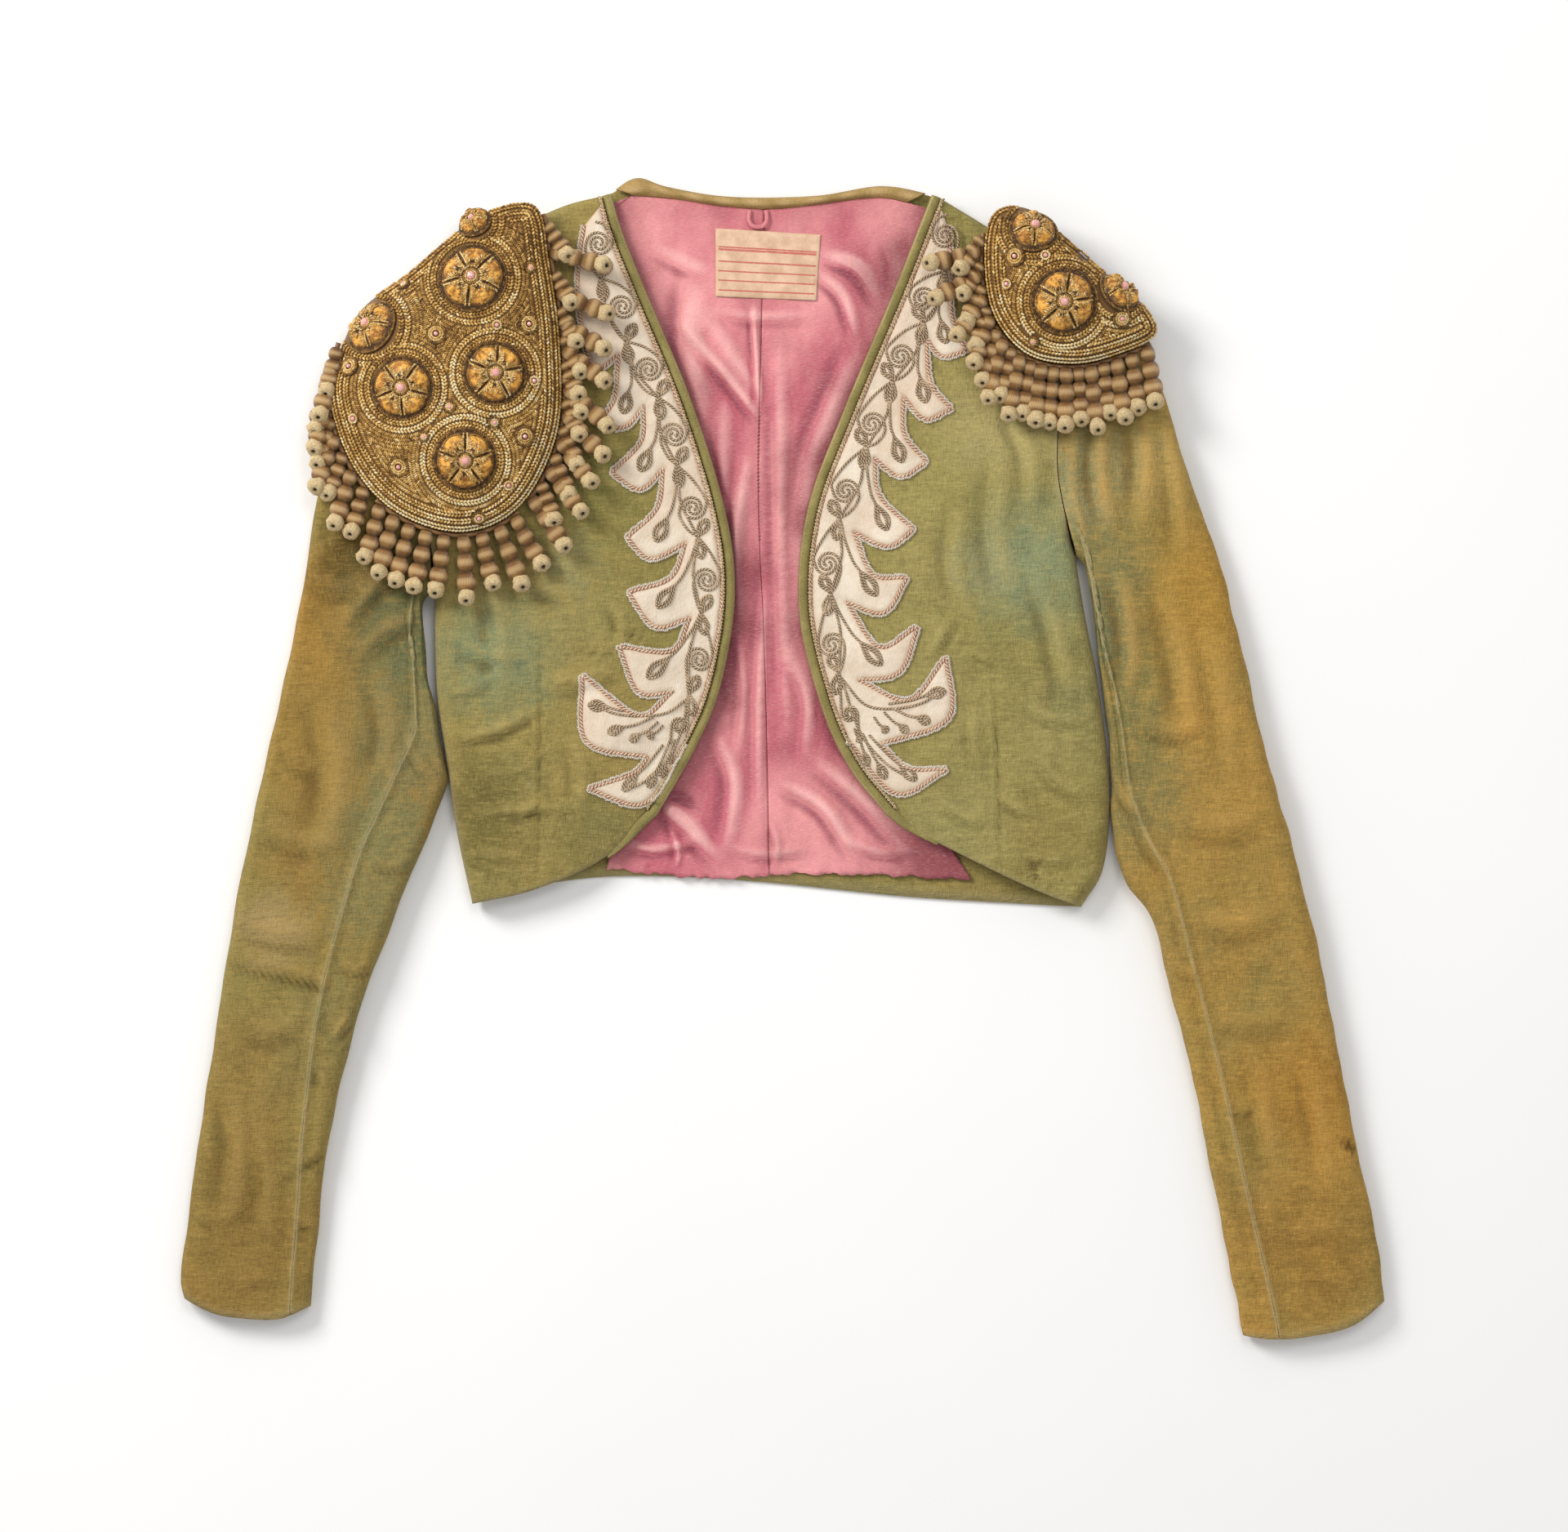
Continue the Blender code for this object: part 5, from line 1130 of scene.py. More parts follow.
LEFT_ENDS = [((790, 872), (721, 863), 7), ((800, 878), (745, 897), 6), ((806, 884), (772, 907), 5),
             ((812, 888), (794, 903), 5), ((830, 905), (819, 934), 5), ((826, 905), (809, 951), 5),
             ((820, 908), (794, 964), 6), ((812, 912), (763, 968), 6)]
RIGHT_ENDS = [((1088, 862), (1157, 846), 7), ((1070, 878), (1086, 896), 5), ((1082, 872), (1111, 896), 5),
              ((1094, 868), (1138, 884), 6), ((1046, 892), (1053, 908), 4), ((1050, 894), (1062, 936), 5),
              ((1056, 898), (1084, 953), 6), ((1064, 900), (1121, 955), 7)]
LEFT_STEMS = [((841, 856), (816, 873), (782, 877), (750, 873), (727, 862)),
              ((843, 852), (834, 896), (820, 925), (797, 952), (768, 967))]
RIGHT_STEMS = [((1030, 830), (1058, 862), (1090, 868), (1126, 862), (1150, 848)),
               ((1031, 833), (1046, 880), (1060, 908), (1086, 936), (1116, 954))]
for side, made, knots, spirals, drops, lobe_side, ends, stems in (
        ("left", band_left, LEFT_KNOTS, LEFT_SPIRALS, LEFT_DROPS, -1, LEFT_ENDS, LEFT_STEMS),
        ("right", band_right, RIGHT_KNOTS, RIGHT_SPIRALS, RIGHT_DROPS, 1, RIGHT_ENDS, RIGHT_STEMS)):
    couched("vine_" + side, vine(knots, spirals, drops, lobe_side, ends, stems), surface_of(made), .88 * MM,
            .45 * MM,
            pewter, "gold_work", 1.2, BODY_TOP - 3 * MM)


# Epaulettes. Stiff padded caps, covered all over with plaited braid of tarnished gold thread. The braid
# is laid in rows that follow the rosettes and the rim, where the outermost rows are paler.
CAP_SEAT = BODY_TOP + .9 * MM
CAP_RIM = BODY_TOP + 7.5 * MM
CAP_FOLD_RIM = 9 * MM
CAP_CROWN = 52 * MM
LEFT_CAP = dict(marks=[(656, 255), (673, 324), (686, 424), (683, 530), (639, 619), (569, 652), (489, 629),
                       (435, 572), (407, 492), (415, 439), (442, 379), (504, 333), (544, 300), (592, 264)],
                centre=(560, 458), fold=140, spread=64)
RIGHT_CAP = dict(marks=[(1205, 307), (1214, 382), (1253, 433), (1309, 447), (1365, 436), (1414, 410),
                        (1392, 368), (1345, 328), (1300, 290), (1258, 258), (1218, 262)],
                 centre=(1298, 352), fold=48, spread=75)
LEFT_ROSETTES = [((581, 345), 24), ((497, 479), 22), ((609, 461), 22), ((573, 566), 22), ((456, 402), 20),
                 ((583, 276), 12)]
RIGHT_ROSETTES = [((1300, 374), 23), ((1264, 285), 17), ((1368, 361), 16)]
LEFT_FLORETS = [((538, 414), 7), ((649, 401), 7), ((492, 574), 7), ((644, 537), 7), ((432, 452), 7),
                ((650, 332), 4),
                ((437, 515), 3.6), ((554, 502), 4.4), ((523, 538), 4), ((608, 521), 4.4), ((588, 635), 5),
                ((498, 352), 4), ((611, 403), 3.6), ((624, 596), 3.6), ((655, 470), 3.6)]
RIGHT_FLORETS = [((1241, 319), 7), ((1277, 319), 3.6), ((1353, 362), 3.6), ((1370, 394), 6.4),
                 ((1264, 420), 4),
                 ((1232, 352), 3.6), ((1325, 316), 4)]


def cap_form(marks, centre, fold, spread):
    """Height of a cap over any place, the height of its seat, and how far out from its middle a place is."""
    middle = plan(centre)
    rim_line = curve(plan(marks), True)
    spoke = rim_line - middle
    bearing = np.arctan2(spoke[:, 1], spoke[:, 0])
    order = np.argsort(bearing)

    def reach(turn):
        return np.interp(turn, bearing[order], np.linalg.norm(spoke, axis=1)[order], period=2 * np.pi)

    def state(spots):
        away = spots - middle
        turn = np.arctan2(away[..., 1], away[..., 0])
        off = np.abs((turn - math.radians(fold) + np.pi) % (2 * np.pi) - np.pi)
        return np.linalg.norm(away, axis=-1) / reach(turn), ease(1 - off / math.radians(spread))

    def height(spots):
        part, folded = state(spots)
        rim = CAP_RIM + (CAP_FOLD_RIM - CAP_RIM) * folded
        inside = (rim + (CAP_CROWN - rim) *
                  np.clip(1 - np.minimum(part, 1) ** (2.2 + .8 * folded), 0, 1) ** .62)
        return np.where(part <= 1, inside, rim - (part - 1) * .02)

    def seat(spots):
        part, folded = state(spots)
        return CAP_SEAT - 14 * MM * folded * ease((part - .9) / .1)

    return middle, rim_line, reach, height, seat, state


def facing(height, spots):
    """The way that the cap's surface faces at each spot."""
    step = .8 * MM
    slope_x = (height(spots + (step, 0)) - height(spots - (step, 0))) / (2 * step)
    slope_y = (height(spots + (0, step)) - height(spots - (0, step))) / (2 * step)
    normal = np.stack((-slope_x, -slope_y, np.ones_like(slope_x)), -1)
    return normal / np.linalg.norm(normal, axis=-1)[..., None]


def gold_colour(dye):
    here = dye.place()
    tone = dye.note("tone")
    shade = dye.node("ValToRGB",
                     {"stops": [(0, (.07, .035, .012)), (.3, (.30, .15, .038)), (.6, (.62, .36, .095)),
                                           (.82, (.88, .60, .225)), (1, (.98, .82, .48))]}, {0: tone})
    thread = dye.cloud(here, (2600, 2600, 2600), 2)
    shade = (thread.clear(.52, .72) * .4).mix(shade, (.12, .07, .025))
    grime = dye.cloud(here, (60, 60, 60), 5, .65)
    return (grime.clear(.55, .7) * .45).mix(shade, (.15, .09, .035))


gold_braid = finished("gold_braid", gold_colour,
                      lambda dye: dye.cloud(dye.place(), (700, 700, 700)) * .3 + .34,
                      lambda dye: dye.cloud(dye.place(), (2600, 2600, 2600), 2), .0004, Metallic=.15,
                      Specular_IOR_Level=.35)


def grains(centres, ways, ups, length, width, height):
    """Many small spindles of wound thread, merged in one mesh."""
    turns = np.linspace(0, 2 * np.pi, 5, endpoint=False)
    shape = [(-.5, 0, 0)]
    for place in (-.24, .24):
        shape += [(place, .5 * math.cos(turn), .5 * math.sin(turn)) for turn in turns]
    shape = np.array(shape + [(.5, 0, 0)])
    faces = [(0, 1 + (i + 1) % 5, 1 + i) for i in range(5)]
    faces += [(1 + i, 1 + (i + 1) % 5, 6 + (i + 1) % 5) for i in range(5)]
    faces += [(1 + i, 6 + (i + 1) % 5, 6 + i) for i in range(5)]
    faces += [(11, 6 + i, 6 + (i + 1) % 5) for i in range(5)]
    ways = ways / np.linalg.norm(ways, axis=1)[:, None]
    sides = np.cross(ups, ways)
    sizes = [np.broadcast_to(size, len(centres))[:, None, None] for size in (length, width, height)]
    points = (centres[:, None] + shape[None, :, :1] * sizes[0] * ways[:, None]
              + shape[None, :, 1:2] * sizes[1] * sides[:, None] +
              shape[None, :, 2:] * sizes[2] * ups[:, None])
    offsets = np.arange(len(centres))[:, None, None] * len(shape)
    return points.reshape(-1, 3), (np.array(faces)[None] + offsets).reshape(-1, 3)


def merged(parts):
    """Several (points, faces, tones) as one, for pieces that are worked together."""
    points = []
    faces = []
    tones = []
    first = 0
    for some_points, some_faces, tone in parts:
        points.append(some_points)
        faces += (np.asarray(some_faces) + first).tolist()
        tones.append(np.repeat(tone, len(some_points) // len(tone)))
        first += len(some_points)
    return np.vstack(points), faces, np.concatenate(tones)


def cap_body(name, form):
    middle, rim_line, reach, height, seat, state = form
    turns = np.linspace(0, 2 * np.pi, 180, endpoint=False)
    edge = reach(turns)[:, None] * np.stack((np.cos(turns), np.sin(turns)), -1)
    parts = np.sin(np.linspace(.02, 1, 46) * np.pi / 2)
    spots = middle + edge[None] * parts[:, None, None]
    top = np.dstack((spots, height(spots)))
    lower = middle + edge[None] * np.array([.995, .9, .6, .25, .02])[:, None, None]
    under = np.dstack((lower, np.minimum(seat(lower), height(lower) - .4 * MM)))
    grid = np.vstack((top, under))
    rows, columns = grid.shape[:2]
    index = np.arange(rows * columns).reshape(rows, columns)
    after = np.roll(index, -1, axis=1)
    faces = np.stack((index[:-1], after[:-1], after[1:], index[1:]), -1).reshape(-1, 4).tolist()
    faces += [index[0].tolist(), index[-1].tolist()]
    # The cap's own surface is painted dark (tone .16): painted shade in the gaps between the braid's grains.
    return piece(name, grid.reshape(-1, 3), faces, gold_braid, "gold_work", [name],
                 {"tone": np.full(rows * columns, .16)})


def braid_rows(form, rosettes, seed, pale_from, pale_to):
    """Places and lie of the plaits, in rows round each rosette and inside the rim."""
    middle, rim_line, reach, height, seat, state = form
    draw = np.random.default_rng(seed)
    centres = [plan(mark) for mark, size in rosettes]
    sizes = [size * MM * .98 for mark, size in rosettes]
    rim_points = dense(np.vstack((rim_line, rim_line[:1])), 2 * MM)

    def rim_gap(spots):
        gap = np.full(len(spots), 1.0)
        for mark in rim_points:
            gap = np.minimum(gap, ((spots - mark) ** 2).sum(1))
        return np.sqrt(gap)

    def rows_for(chains):
        """Distance of each row, whether it is half of a plait or of a filling, and its slant."""
        rows = [(4.7 * chain + half, 1, slant) for chain in range(chains) for half,
                slant in ((1.2, 40), (3.1, -40))]
        return rows + [(4.7 * chains + 1.4 + 2.5 * order, 0, 56 - 112 * (order % 2)) for order in range(9)]

    rows = []

    def lay(line, lie, gap, chain, slant, order, at_rim, keep):
        line, lie = line[keep], lie[keep]
        rows.append(np.column_stack((line, lie, np.tile((gap, chain, slant, order, at_rim), (len(line), 1)))))

    for centre, size in zip(centres, sizes):
        for order, (gap, chain, slant) in enumerate(rows_for(2)):
            gap *= MM
            turns = np.linspace(0, 2 * np.pi, int(2 * np.pi * (size + gap) / ((2.3 if chain else 1.45) * MM)),
                                False)
            line = centre + (size + gap) * np.stack((np.cos(turns), np.sin(turns)), -1)
            others = np.min([np.linalg.norm(line - other, axis=1) - reach_of
                             for other, reach_of in zip(centres, sizes)], axis=0)
            lay(line, np.stack((-np.sin(turns), np.cos(turns)), -1), gap, chain, slant, order, 0,
                (others > gap - 1 * MM) & (rim_gap(line) > gap - .3 * MM) & (state(line)[0] < .985))
    smooth_rim = dense(np.vstack((rim_line, rim_line[:1])), 1 * MM)
    for order, (gap, chain, slant) in enumerate(rows_for(3)):
        gap *= MM
        line = dense(shifted(smooth_rim, gap * (1 if shoelace(rim_line) > 0 else -1)),
                     (2.3 if chain else 1.45) * MM)
        lie = np.gradient(line, axis=0)
        lie /= np.maximum(np.linalg.norm(lie, axis=1), 1e-9)[:, None]
        others = np.min([np.linalg.norm(line - other, axis=1) - reach_of
                         for other, reach_of in zip(centres, sizes)], axis=0)
        keep = (others > gap - .3 * MM) & (rim_gap(line) > gap - .6 * MM) & (state(line)[0] < .995)
        keep |= (order < 2) & (others > 1 * MM) & (rim_gap(line) > gap - .6 * MM)
        lay(line, lie, gap, chain, slant, order, 1, keep)
    rows = np.vstack(rows)
    spots, lies = rows[:, :2], rows[:, 2:4]
    chains, slants, orders, at_rim = rows[:, 5:].T
    up = facing(height, spots)
    slant = np.radians(slants) + draw.normal(0, .1, len(spots))
    turned = np.stack((lies[:, 0] * np.cos(slant) - lies[:, 1] * np.sin(slant),
                       lies[:, 0] * np.sin(slant) + lies[:, 1] * np.cos(slant)), -1)
    way = np.column_stack((turned, np.zeros(len(spots))))
    way -= (way * up).sum(1)[:, None] * up
    lift = (.35 + .45 * chains + draw.normal(0, .08, len(spots))) * MM
    centre_points = np.column_stack((spots, height(spots))) + up * lift[:, None]
    bearing = np.degrees(np.arctan2(*(spots - middle).T[::-1])) % 360
    lit = ease(1 -
               np.abs((bearing - (pale_from + pale_to) / 2 + 180) % 360 - 180) / ((pale_to - pale_from) / 2) * .9)
    tone = .50 + .12 * chains + draw.normal(0, .15, len(spots))
    tone += np.where((at_rim == 1) & (orders < 2), .36 * lit, 0) + np.where((at_rim == 1) & (orders == 3), .1,
                                                                            0)
    tone += np.where((at_rim == 0) & (chains == 1), np.where(orders < 2, -.08, .10 + .12 * lit), 0)
    tone += .14 * ease(1 - np.abs((bearing - 295 + 180) % 360 - 180) / 110)
    tone += .10 * np.sin(spots[:, 0] * 190 +
                         2) * np.sin(spots[:, 1] * 160) - .10 * ease((spots[:, 1] - .30) / .06)
    sizes = np.where(chains == 1, 3.2, 3.7), np.where(chains == 1, 1.7, 1.2), np.where(chains == 1, 1.8, 1.2)
    return centre_points, way, up, np.clip(tone, 0, 1), [size * MM for size in sizes]


def shoelace(line):
    return np.sum(line[:, 0] * np.roll(line[:, 1], -1) - np.roll(line[:, 0], -1) * line[:, 1])


# Rosettes, florets and stones. Each rosette is a padded flower of five amber leather petals in a rope
# ring, with chips of gold purl in its clefts and a pink glass stone in a wire coil at its heart.
def petal_colour(dye):
    here = dye.place()
    tone = dye.cloud(here, (200, 200, 200), 4, .6).clear(.42, .57).mix((.40, .15, .022), (.95, .47, .07))
    tone = (dye.cloud(here, (600, 600, 600), 3).clear(.56, .66) * .6).mix(tone, (1, .70, .24))
    # Painted shade: near black where the petal note is low, in the clefts between petals and at their inner and
    # outer edges.
    tone = (1 - dye.note("petal")).clear(.25, .6).mix(tone, (.075, .034, .011))
    return (dye.cloud(here, (380, 380, 380), 4, .7).clear(.57, .64) * .75).mix(tone, (.15, .06, .015))


amber_leather = finished("amber_leather", petal_colour,
                         lambda dye: dye.cloud(dye.place(), (500, 500, 500)) * .3 + .3,
                         lambda dye: dye.cloud(dye.place(), (900, 900, 900), 4, .6), .0011)
pink_glass = finished("pink_glass", lambda dye: dye.cloud(dye.place(), (900, 900, 900)).mix((.66, .24, .22),
                      (.90, .52, .46)), lambda dye: dye.cloud(dye.place(), (900, 900, 900)) * .1 + .08,
                      Specular_IOR_Level=.6, Coat_Weight=.5)


def heart_stone(centre, up, radius):
    """A low glass dome, cut in flat facets."""
    side = np.cross(up, (0, 1, .1))
    side /= np.linalg.norm(side)
    other = np.cross(up, side)
    points = [centre + up * radius * .62]
    for spread, rise in ((.5, .52), (.86, .22), (1, -.3)):
        for turn in np.linspace(0, 2 * np.pi, 8, endpoint=False):
            points.append(centre +
                          radius * (spread * (math.cos(turn) * side + math.sin(turn) * other) + rise * up))
    faces = [(0, 1 + i, 1 + (i + 1) % 8) for i in range(8)]
    for ring in (1, 9):
        faces += [(ring + i, ring + 8 + i, ring + 8 + (i + 1) % 8, ring + (i + 1) % 8) for i in range(8)]
    return np.array(points), faces + [tuple(range(24, 16, -1))]


def rosette(name, mark, size, form, draw):
    """One flower. Returns its threads as grains, and its stone."""
    middle, rim_line, reach, height, seat, state = form
    spot = plan(mark)
    normal = facing(height, spot[None])[0]
    side = np.cross(normal, (.02, 0, 1))
    side /= np.linalg.norm(side)
    other = np.cross(side, normal)
    top = np.array([*spot, height(spot[None])[0]])
    phase = draw.uniform(0, 2 * np.pi)
    worn = draw.uniform(-.5, .5, 5)

    def base(parts, turns):
        spoke = (size * MM * parts[..., None] *
                 (np.cos(turns)[..., None] * side + np.sin(turns)[..., None] * other))
        flat = top + spoke
        drop = np.clip((flat[..., 2] - height(flat[..., :2])) * normal[2], -1 * MM, 5.5 * MM)
        return flat - normal * drop[..., None]

    def lift(parts, turns):
        five = (turns + phase) * 2.5
        petal = np.abs(np.cos(five)) ** .7
        bump = np.sin(np.pi * np.clip((parts - .22) / .64, 0, 1)) ** .55
        rise = (.9 + 5.6 * petal * bump *
                (1 + .2 * np.sin(turns * 7 + phase * 3) + .15 * np.sin(turns * 13 + parts * 9)))
        rise -= 1.1 * bump * np.exp(-((np.abs(np.cos(five)) - 1) / .02) ** 2)
        rise += 2.4 * np.clip(1 - parts ** 2, 0, 1)
        rope = np.sqrt(np.clip(1 - ((parts - .93) / .06) ** 2, 0, 1)) * 1.3
        heart = 5.2 * np.sqrt(np.clip(1 - (parts / .32) ** 2, 0, 1))
        return (np.maximum(np.maximum(rise * (parts < .87) + (parts >= .87) * .6, rope), heart + 1)) * MM

    turns = np.linspace(0, 2 * np.pi, 90, endpoint=False)
    parts = np.linspace(.02, 1, 26)
    turn_grid, part_grid = np.meshgrid(turns, parts)
    grid = base(part_grid, turn_grid) + normal * lift(part_grid, turn_grid)[..., None]
    skirt = base(np.full_like(turns, 1.0), turns) - normal * .3 * MM
    foot = base(np.full_like(turns, .93), turns) - normal * .9 * MM
    grid = np.concatenate((grid, skirt[None], foot[None]))
    rows, columns = grid.shape[:2]
    index = np.arange(rows * columns).reshape(rows, columns)
    after = np.roll(index, -1, axis=1)
    faces = np.stack((index[:-1], after[:-1], after[1:], index[1:]), -1).reshape(-1, 4).tolist()
    faces += [index[0].tolist(), index[-1].tolist()]
    bump = np.sin(np.pi * np.clip((part_grid - .40) / .50, 0, 1)) ** .5
    petal = np.abs(np.cos((turn_grid + phase) * 2.5)) ** .6 * bump
    petal = np.vstack((petal, petal[:2] * 0))
    made = piece(name, grid.reshape(-1, 3), faces, amber_leather, "petal_leather", [name],
                 {"petal": petal.ravel()})
    threads = []

    def stitch(parts, turns, twist_angle, length, width, tone, proud=.35):
        parts = np.asarray(parts, float)
        turns = np.asarray(turns, float)
        points = base(parts, turns) + normal * (lift(parts, turns) + proud * MM)[:, None]
        ahead = (base(parts, turns + .02) + normal * lift(parts, turns + .02)[:, None] - points +
                 normal * proud * MM)
        outward = (base(parts + .02, turns) + normal * lift(parts + .02, turns)[:, None] - points +
                   normal * proud * MM)
        ahead /= np.linalg.norm(ahead, axis=1)[:, None]
        outward /= np.linalg.norm(outward, axis=1)[:, None]
        angle = np.radians(np.broadcast_to(twist_angle, len(points)))[:, None]
        way = ahead * np.cos(angle) + outward * np.sin(angle)
        up = np.cross(ahead, outward)
        up *= np.sign((up * normal).sum(1))[:, None]
        up -= (up * way).sum(1)[:, None] * way / (way * way).sum(1)[:, None]
        up /= np.linalg.norm(up, axis=1)[:, None]
        shade = np.clip(tone + draw.normal(0, .13, len(points)), 0, 1)
        threads.append((*grains(points, way, up, length * MM, width * MM, width * MM * .8), shade))

    # The inner ring at .90 is dark (tone .10): painted shade in the groove between the petals and the rope ring.
    for ring, slant, tone in ((.90, 40, .10), (.965, -40, .26)):
        count = int(2 * np.pi * size * ring / 1.5)
        stitch(np.full(count, ring), np.linspace(0, 2 * np.pi, count, endpoint=False), slant, 2.5, 1.25, tone,
               .2 if ring < 1 else .9)
    for petal_order in range(5):
        cleft = (petal_order + .5) * 2 * np.pi / 5 - phase
        centre_turn = petal_order * 2 * np.pi / 5 - phase
        inner = np.linspace(.34, .80, 7)
        for offset, tone in ((-.13, .66), (.13, .7)):
            stitch(inner, cleft + offset * (1.3 - 1.5 * (inner - .3)), 76 + draw.normal(0, 14, 7),
                   size * .125, 1.5,
                   tone + .14 * worn[petal_order])
            stitch(inner[:5] + .03, cleft + offset * (2.4 - 3.6 * (inner[:5] - .3)),
                   60 * np.sign(offset) * np.ones(5),
                   size * .11, 1.3, tone - .15)
        # A line of near-black grains down each cleft: painted shade between the petals.
        stitch(np.linspace(.36, .84, 6), np.full(6, cleft), 90, 3.4, 2.0, .06, .1)
        for bend in (-.42, -.28, .28, .42):
            stitch(np.linspace(.40, .62, 4), cleft + bend * (1.25 - np.linspace(.40, .62, 4)), 90 - 95 * bend,
                   size * .12, 1.15, .58 + .3 * draw.random())
        for vein in (-.2, 0, .2):
            stitch(np.linspace(.32, .5 - abs(vein) * .4, 2), np.full(2, centre_turn + vein), 90, size * .11,
                   .95,
                   .85)
        rim_turns = centre_turn + np.linspace(-.5, .5, 9)
        stitch(.84 - .05 * np.abs(np.linspace(-1, 1, 9)), rim_turns, 12, size * .12, 1.1, .3)
        scattered = draw.uniform(-.46, .46, 12)
        stitch(draw.uniform(.36, .62, 12), centre_turn + scattered, 90 + draw.uniform(-50, 50, 12),
               size * .11, 1.1,
               draw.uniform(.3, .9), .3)
    for radius, tone in ((.335, .40), (.285, .86), (.215, .42), (.155, .8)):
        count = max(8, int(2 * np.pi * size * radius / 1.15))
        stitch(np.full(count, radius), np.linspace(0, 2 * np.pi, count, endpoint=False), 62, 2.1, 1.05, tone,
               .3)
    stone = heart_stone(top + normal * 6.6 * MM, normal, 3.1 * MM if size > 14 else 2.1 * MM)
    return threads, stone


for side, shape, rosettes, florets, pale, seed in (("left", LEFT_CAP, LEFT_ROSETTES, LEFT_FLORETS, (190, 350),
                                                    41),
                                                   ("right", RIGHT_CAP, RIGHT_ROSETTES, RIGHT_FLORETS,
                                                    (180, 350), 43)):
    form = cap_form(**shape)
    draw = np.random.default_rng(seed)
    cap_piece = cap_body("epaulette_" + side, form)
    centres, ways, ups, tones, spindle = braid_rows(form, rosettes, seed, *pale)
    worked = []
    stones = []
    for order, (mark, size) in enumerate(rosettes):
        threads, stone = rosette("rosette_%s_%d" % (side, order + 1), mark, size, form, draw)
        worked += threads
        stones.append(stone)
    places = np.array([plan(mark) for mark, size in florets])
    room = np.array([size * MM for mark, size in florets])
    clear = np.all(np.linalg.norm(centres[:, None, :2] - places[None], axis=-1) > room, axis=1)
    braid = grains(centres[clear], ways[clear], ups[clear], *(size[clear] for size in spindle))
    piece("braid_" + side, *braid, gold_braid, "gold_work", (), {"tone": np.repeat(tones[clear], 12)})
    height = form[3]
    for place, size in zip(places, room):
        up = facing(height, place[None])[0]
        across = np.cross(up, (0, 1, .1))
        across /= np.linalg.norm(across)
        other = np.cross(up, across)
        base = np.array([*place, height(place[None])[0]])
        for radius in np.arange(size / MM - .8, 1.6, -1.55):
            count = int(2 * np.pi * radius / 1.15)
            tone = .9 if radius < 3 else .25 if radius > size / MM - 1 else .74
            turns = np.linspace(0, 2 * np.pi, count, endpoint=False)[:, None]
            ring = base + radius * MM * (np.cos(turns) * across + np.sin(turns) * other)
            ring = ring + up * (2.6 - radius * .18) * MM
            lie = -np.sin(turns) * across + np.cos(turns) * other
            outward = np.cos(turns) * across + np.sin(turns) * other
            shades = np.clip(tone + draw.normal(0, .12, count), 0, 1)
            worked.append((*grains(ring, lie * .6 + outward * .8, np.tile(up, (count, 1)), 2.4 * MM,
                                   1.05 * MM,
                                   1.1 * MM), shades))
        stones.append(heart_stone(base + up * 2.5 * MM, up, 1.6 * MM))
    points, faces, shades = merged(worked)
    piece("purl_" + side, points, faces, gold_braid, "gold_work", (), {"tone": shades})
    points = np.vstack([stone[0] for stone in stones])
    faces = [tuple(corner + 25 * order for corner in face) for order,
             stone in enumerate(stones) for face in stone[1]]
    piece("stones_" + side, points, faces, pink_glass, "gold_work", (), smooth=False)


# Seam stitches. The lining's centre seam is closed by hand in dark rose thread where it has parted.
seam_line = dense(curve(plan([(930, 500), (928, 560), (929, 620), (930, 660)])), 2.4 * MM)
stitch_top = felt(surface_of(lining_left, lining_right), seam_line, 5 * MM) + .25 * MM
stitch_way = np.tile((.75, .6, 0), (len(seam_line), 1))
stitch_up = np.tile((0, 0, 1.0), (len(seam_line), 1))
dark_rose = finished("dark_rose_thread",
                     lambda dye: dye.cloud(dye.place(), (900, 900, 900)).mix((.16, .02, .035),
                     (.34, .07, .09)), lambda dye: dye.cloud(dye.place(), (900, 900, 900)) * .2 + .4)
piece("seam_stitches",
      *grains(np.column_stack((seam_line, stitch_top)), stitch_way, stitch_up, 2.2 * MM, .6 * MM,
                               .5 * MM), dark_rose, "satin")


# Fringe. Each strand is three wooden barrels wound with bronze silk, each larger than the last, and a
# cut tuft of cream silk. The strands are sewn close together to a cord under the cap's rim.
FRINGE_BED = BODY_TOP + 3 * MM
# Bearings of the first and last strand, their number, lengths in millimetres, and how much they hang down.
FRINGES = [("left_neck", 59, 6, 9, 27, 40, (.3, .7, .9)), ("left_front", -1, -59, 10, 30, 42, (.9, 1.0, .6)),
           ("left_hem", -68, -120, 9, 42, 46, (.3, .05, 1.5)),
           ("left_sleeve", -129, -192, 9, 34, 40, (2.2, 2.0, 4.2, 4.5)),
           ("right_neck", 148, 203, 8, 28, 38, (.2, .5, 2.2)),
           ("right_sleeve", 214, 325, 14, 40, 45, (2.5, 2.0, .2, 1.2, 2.4))]


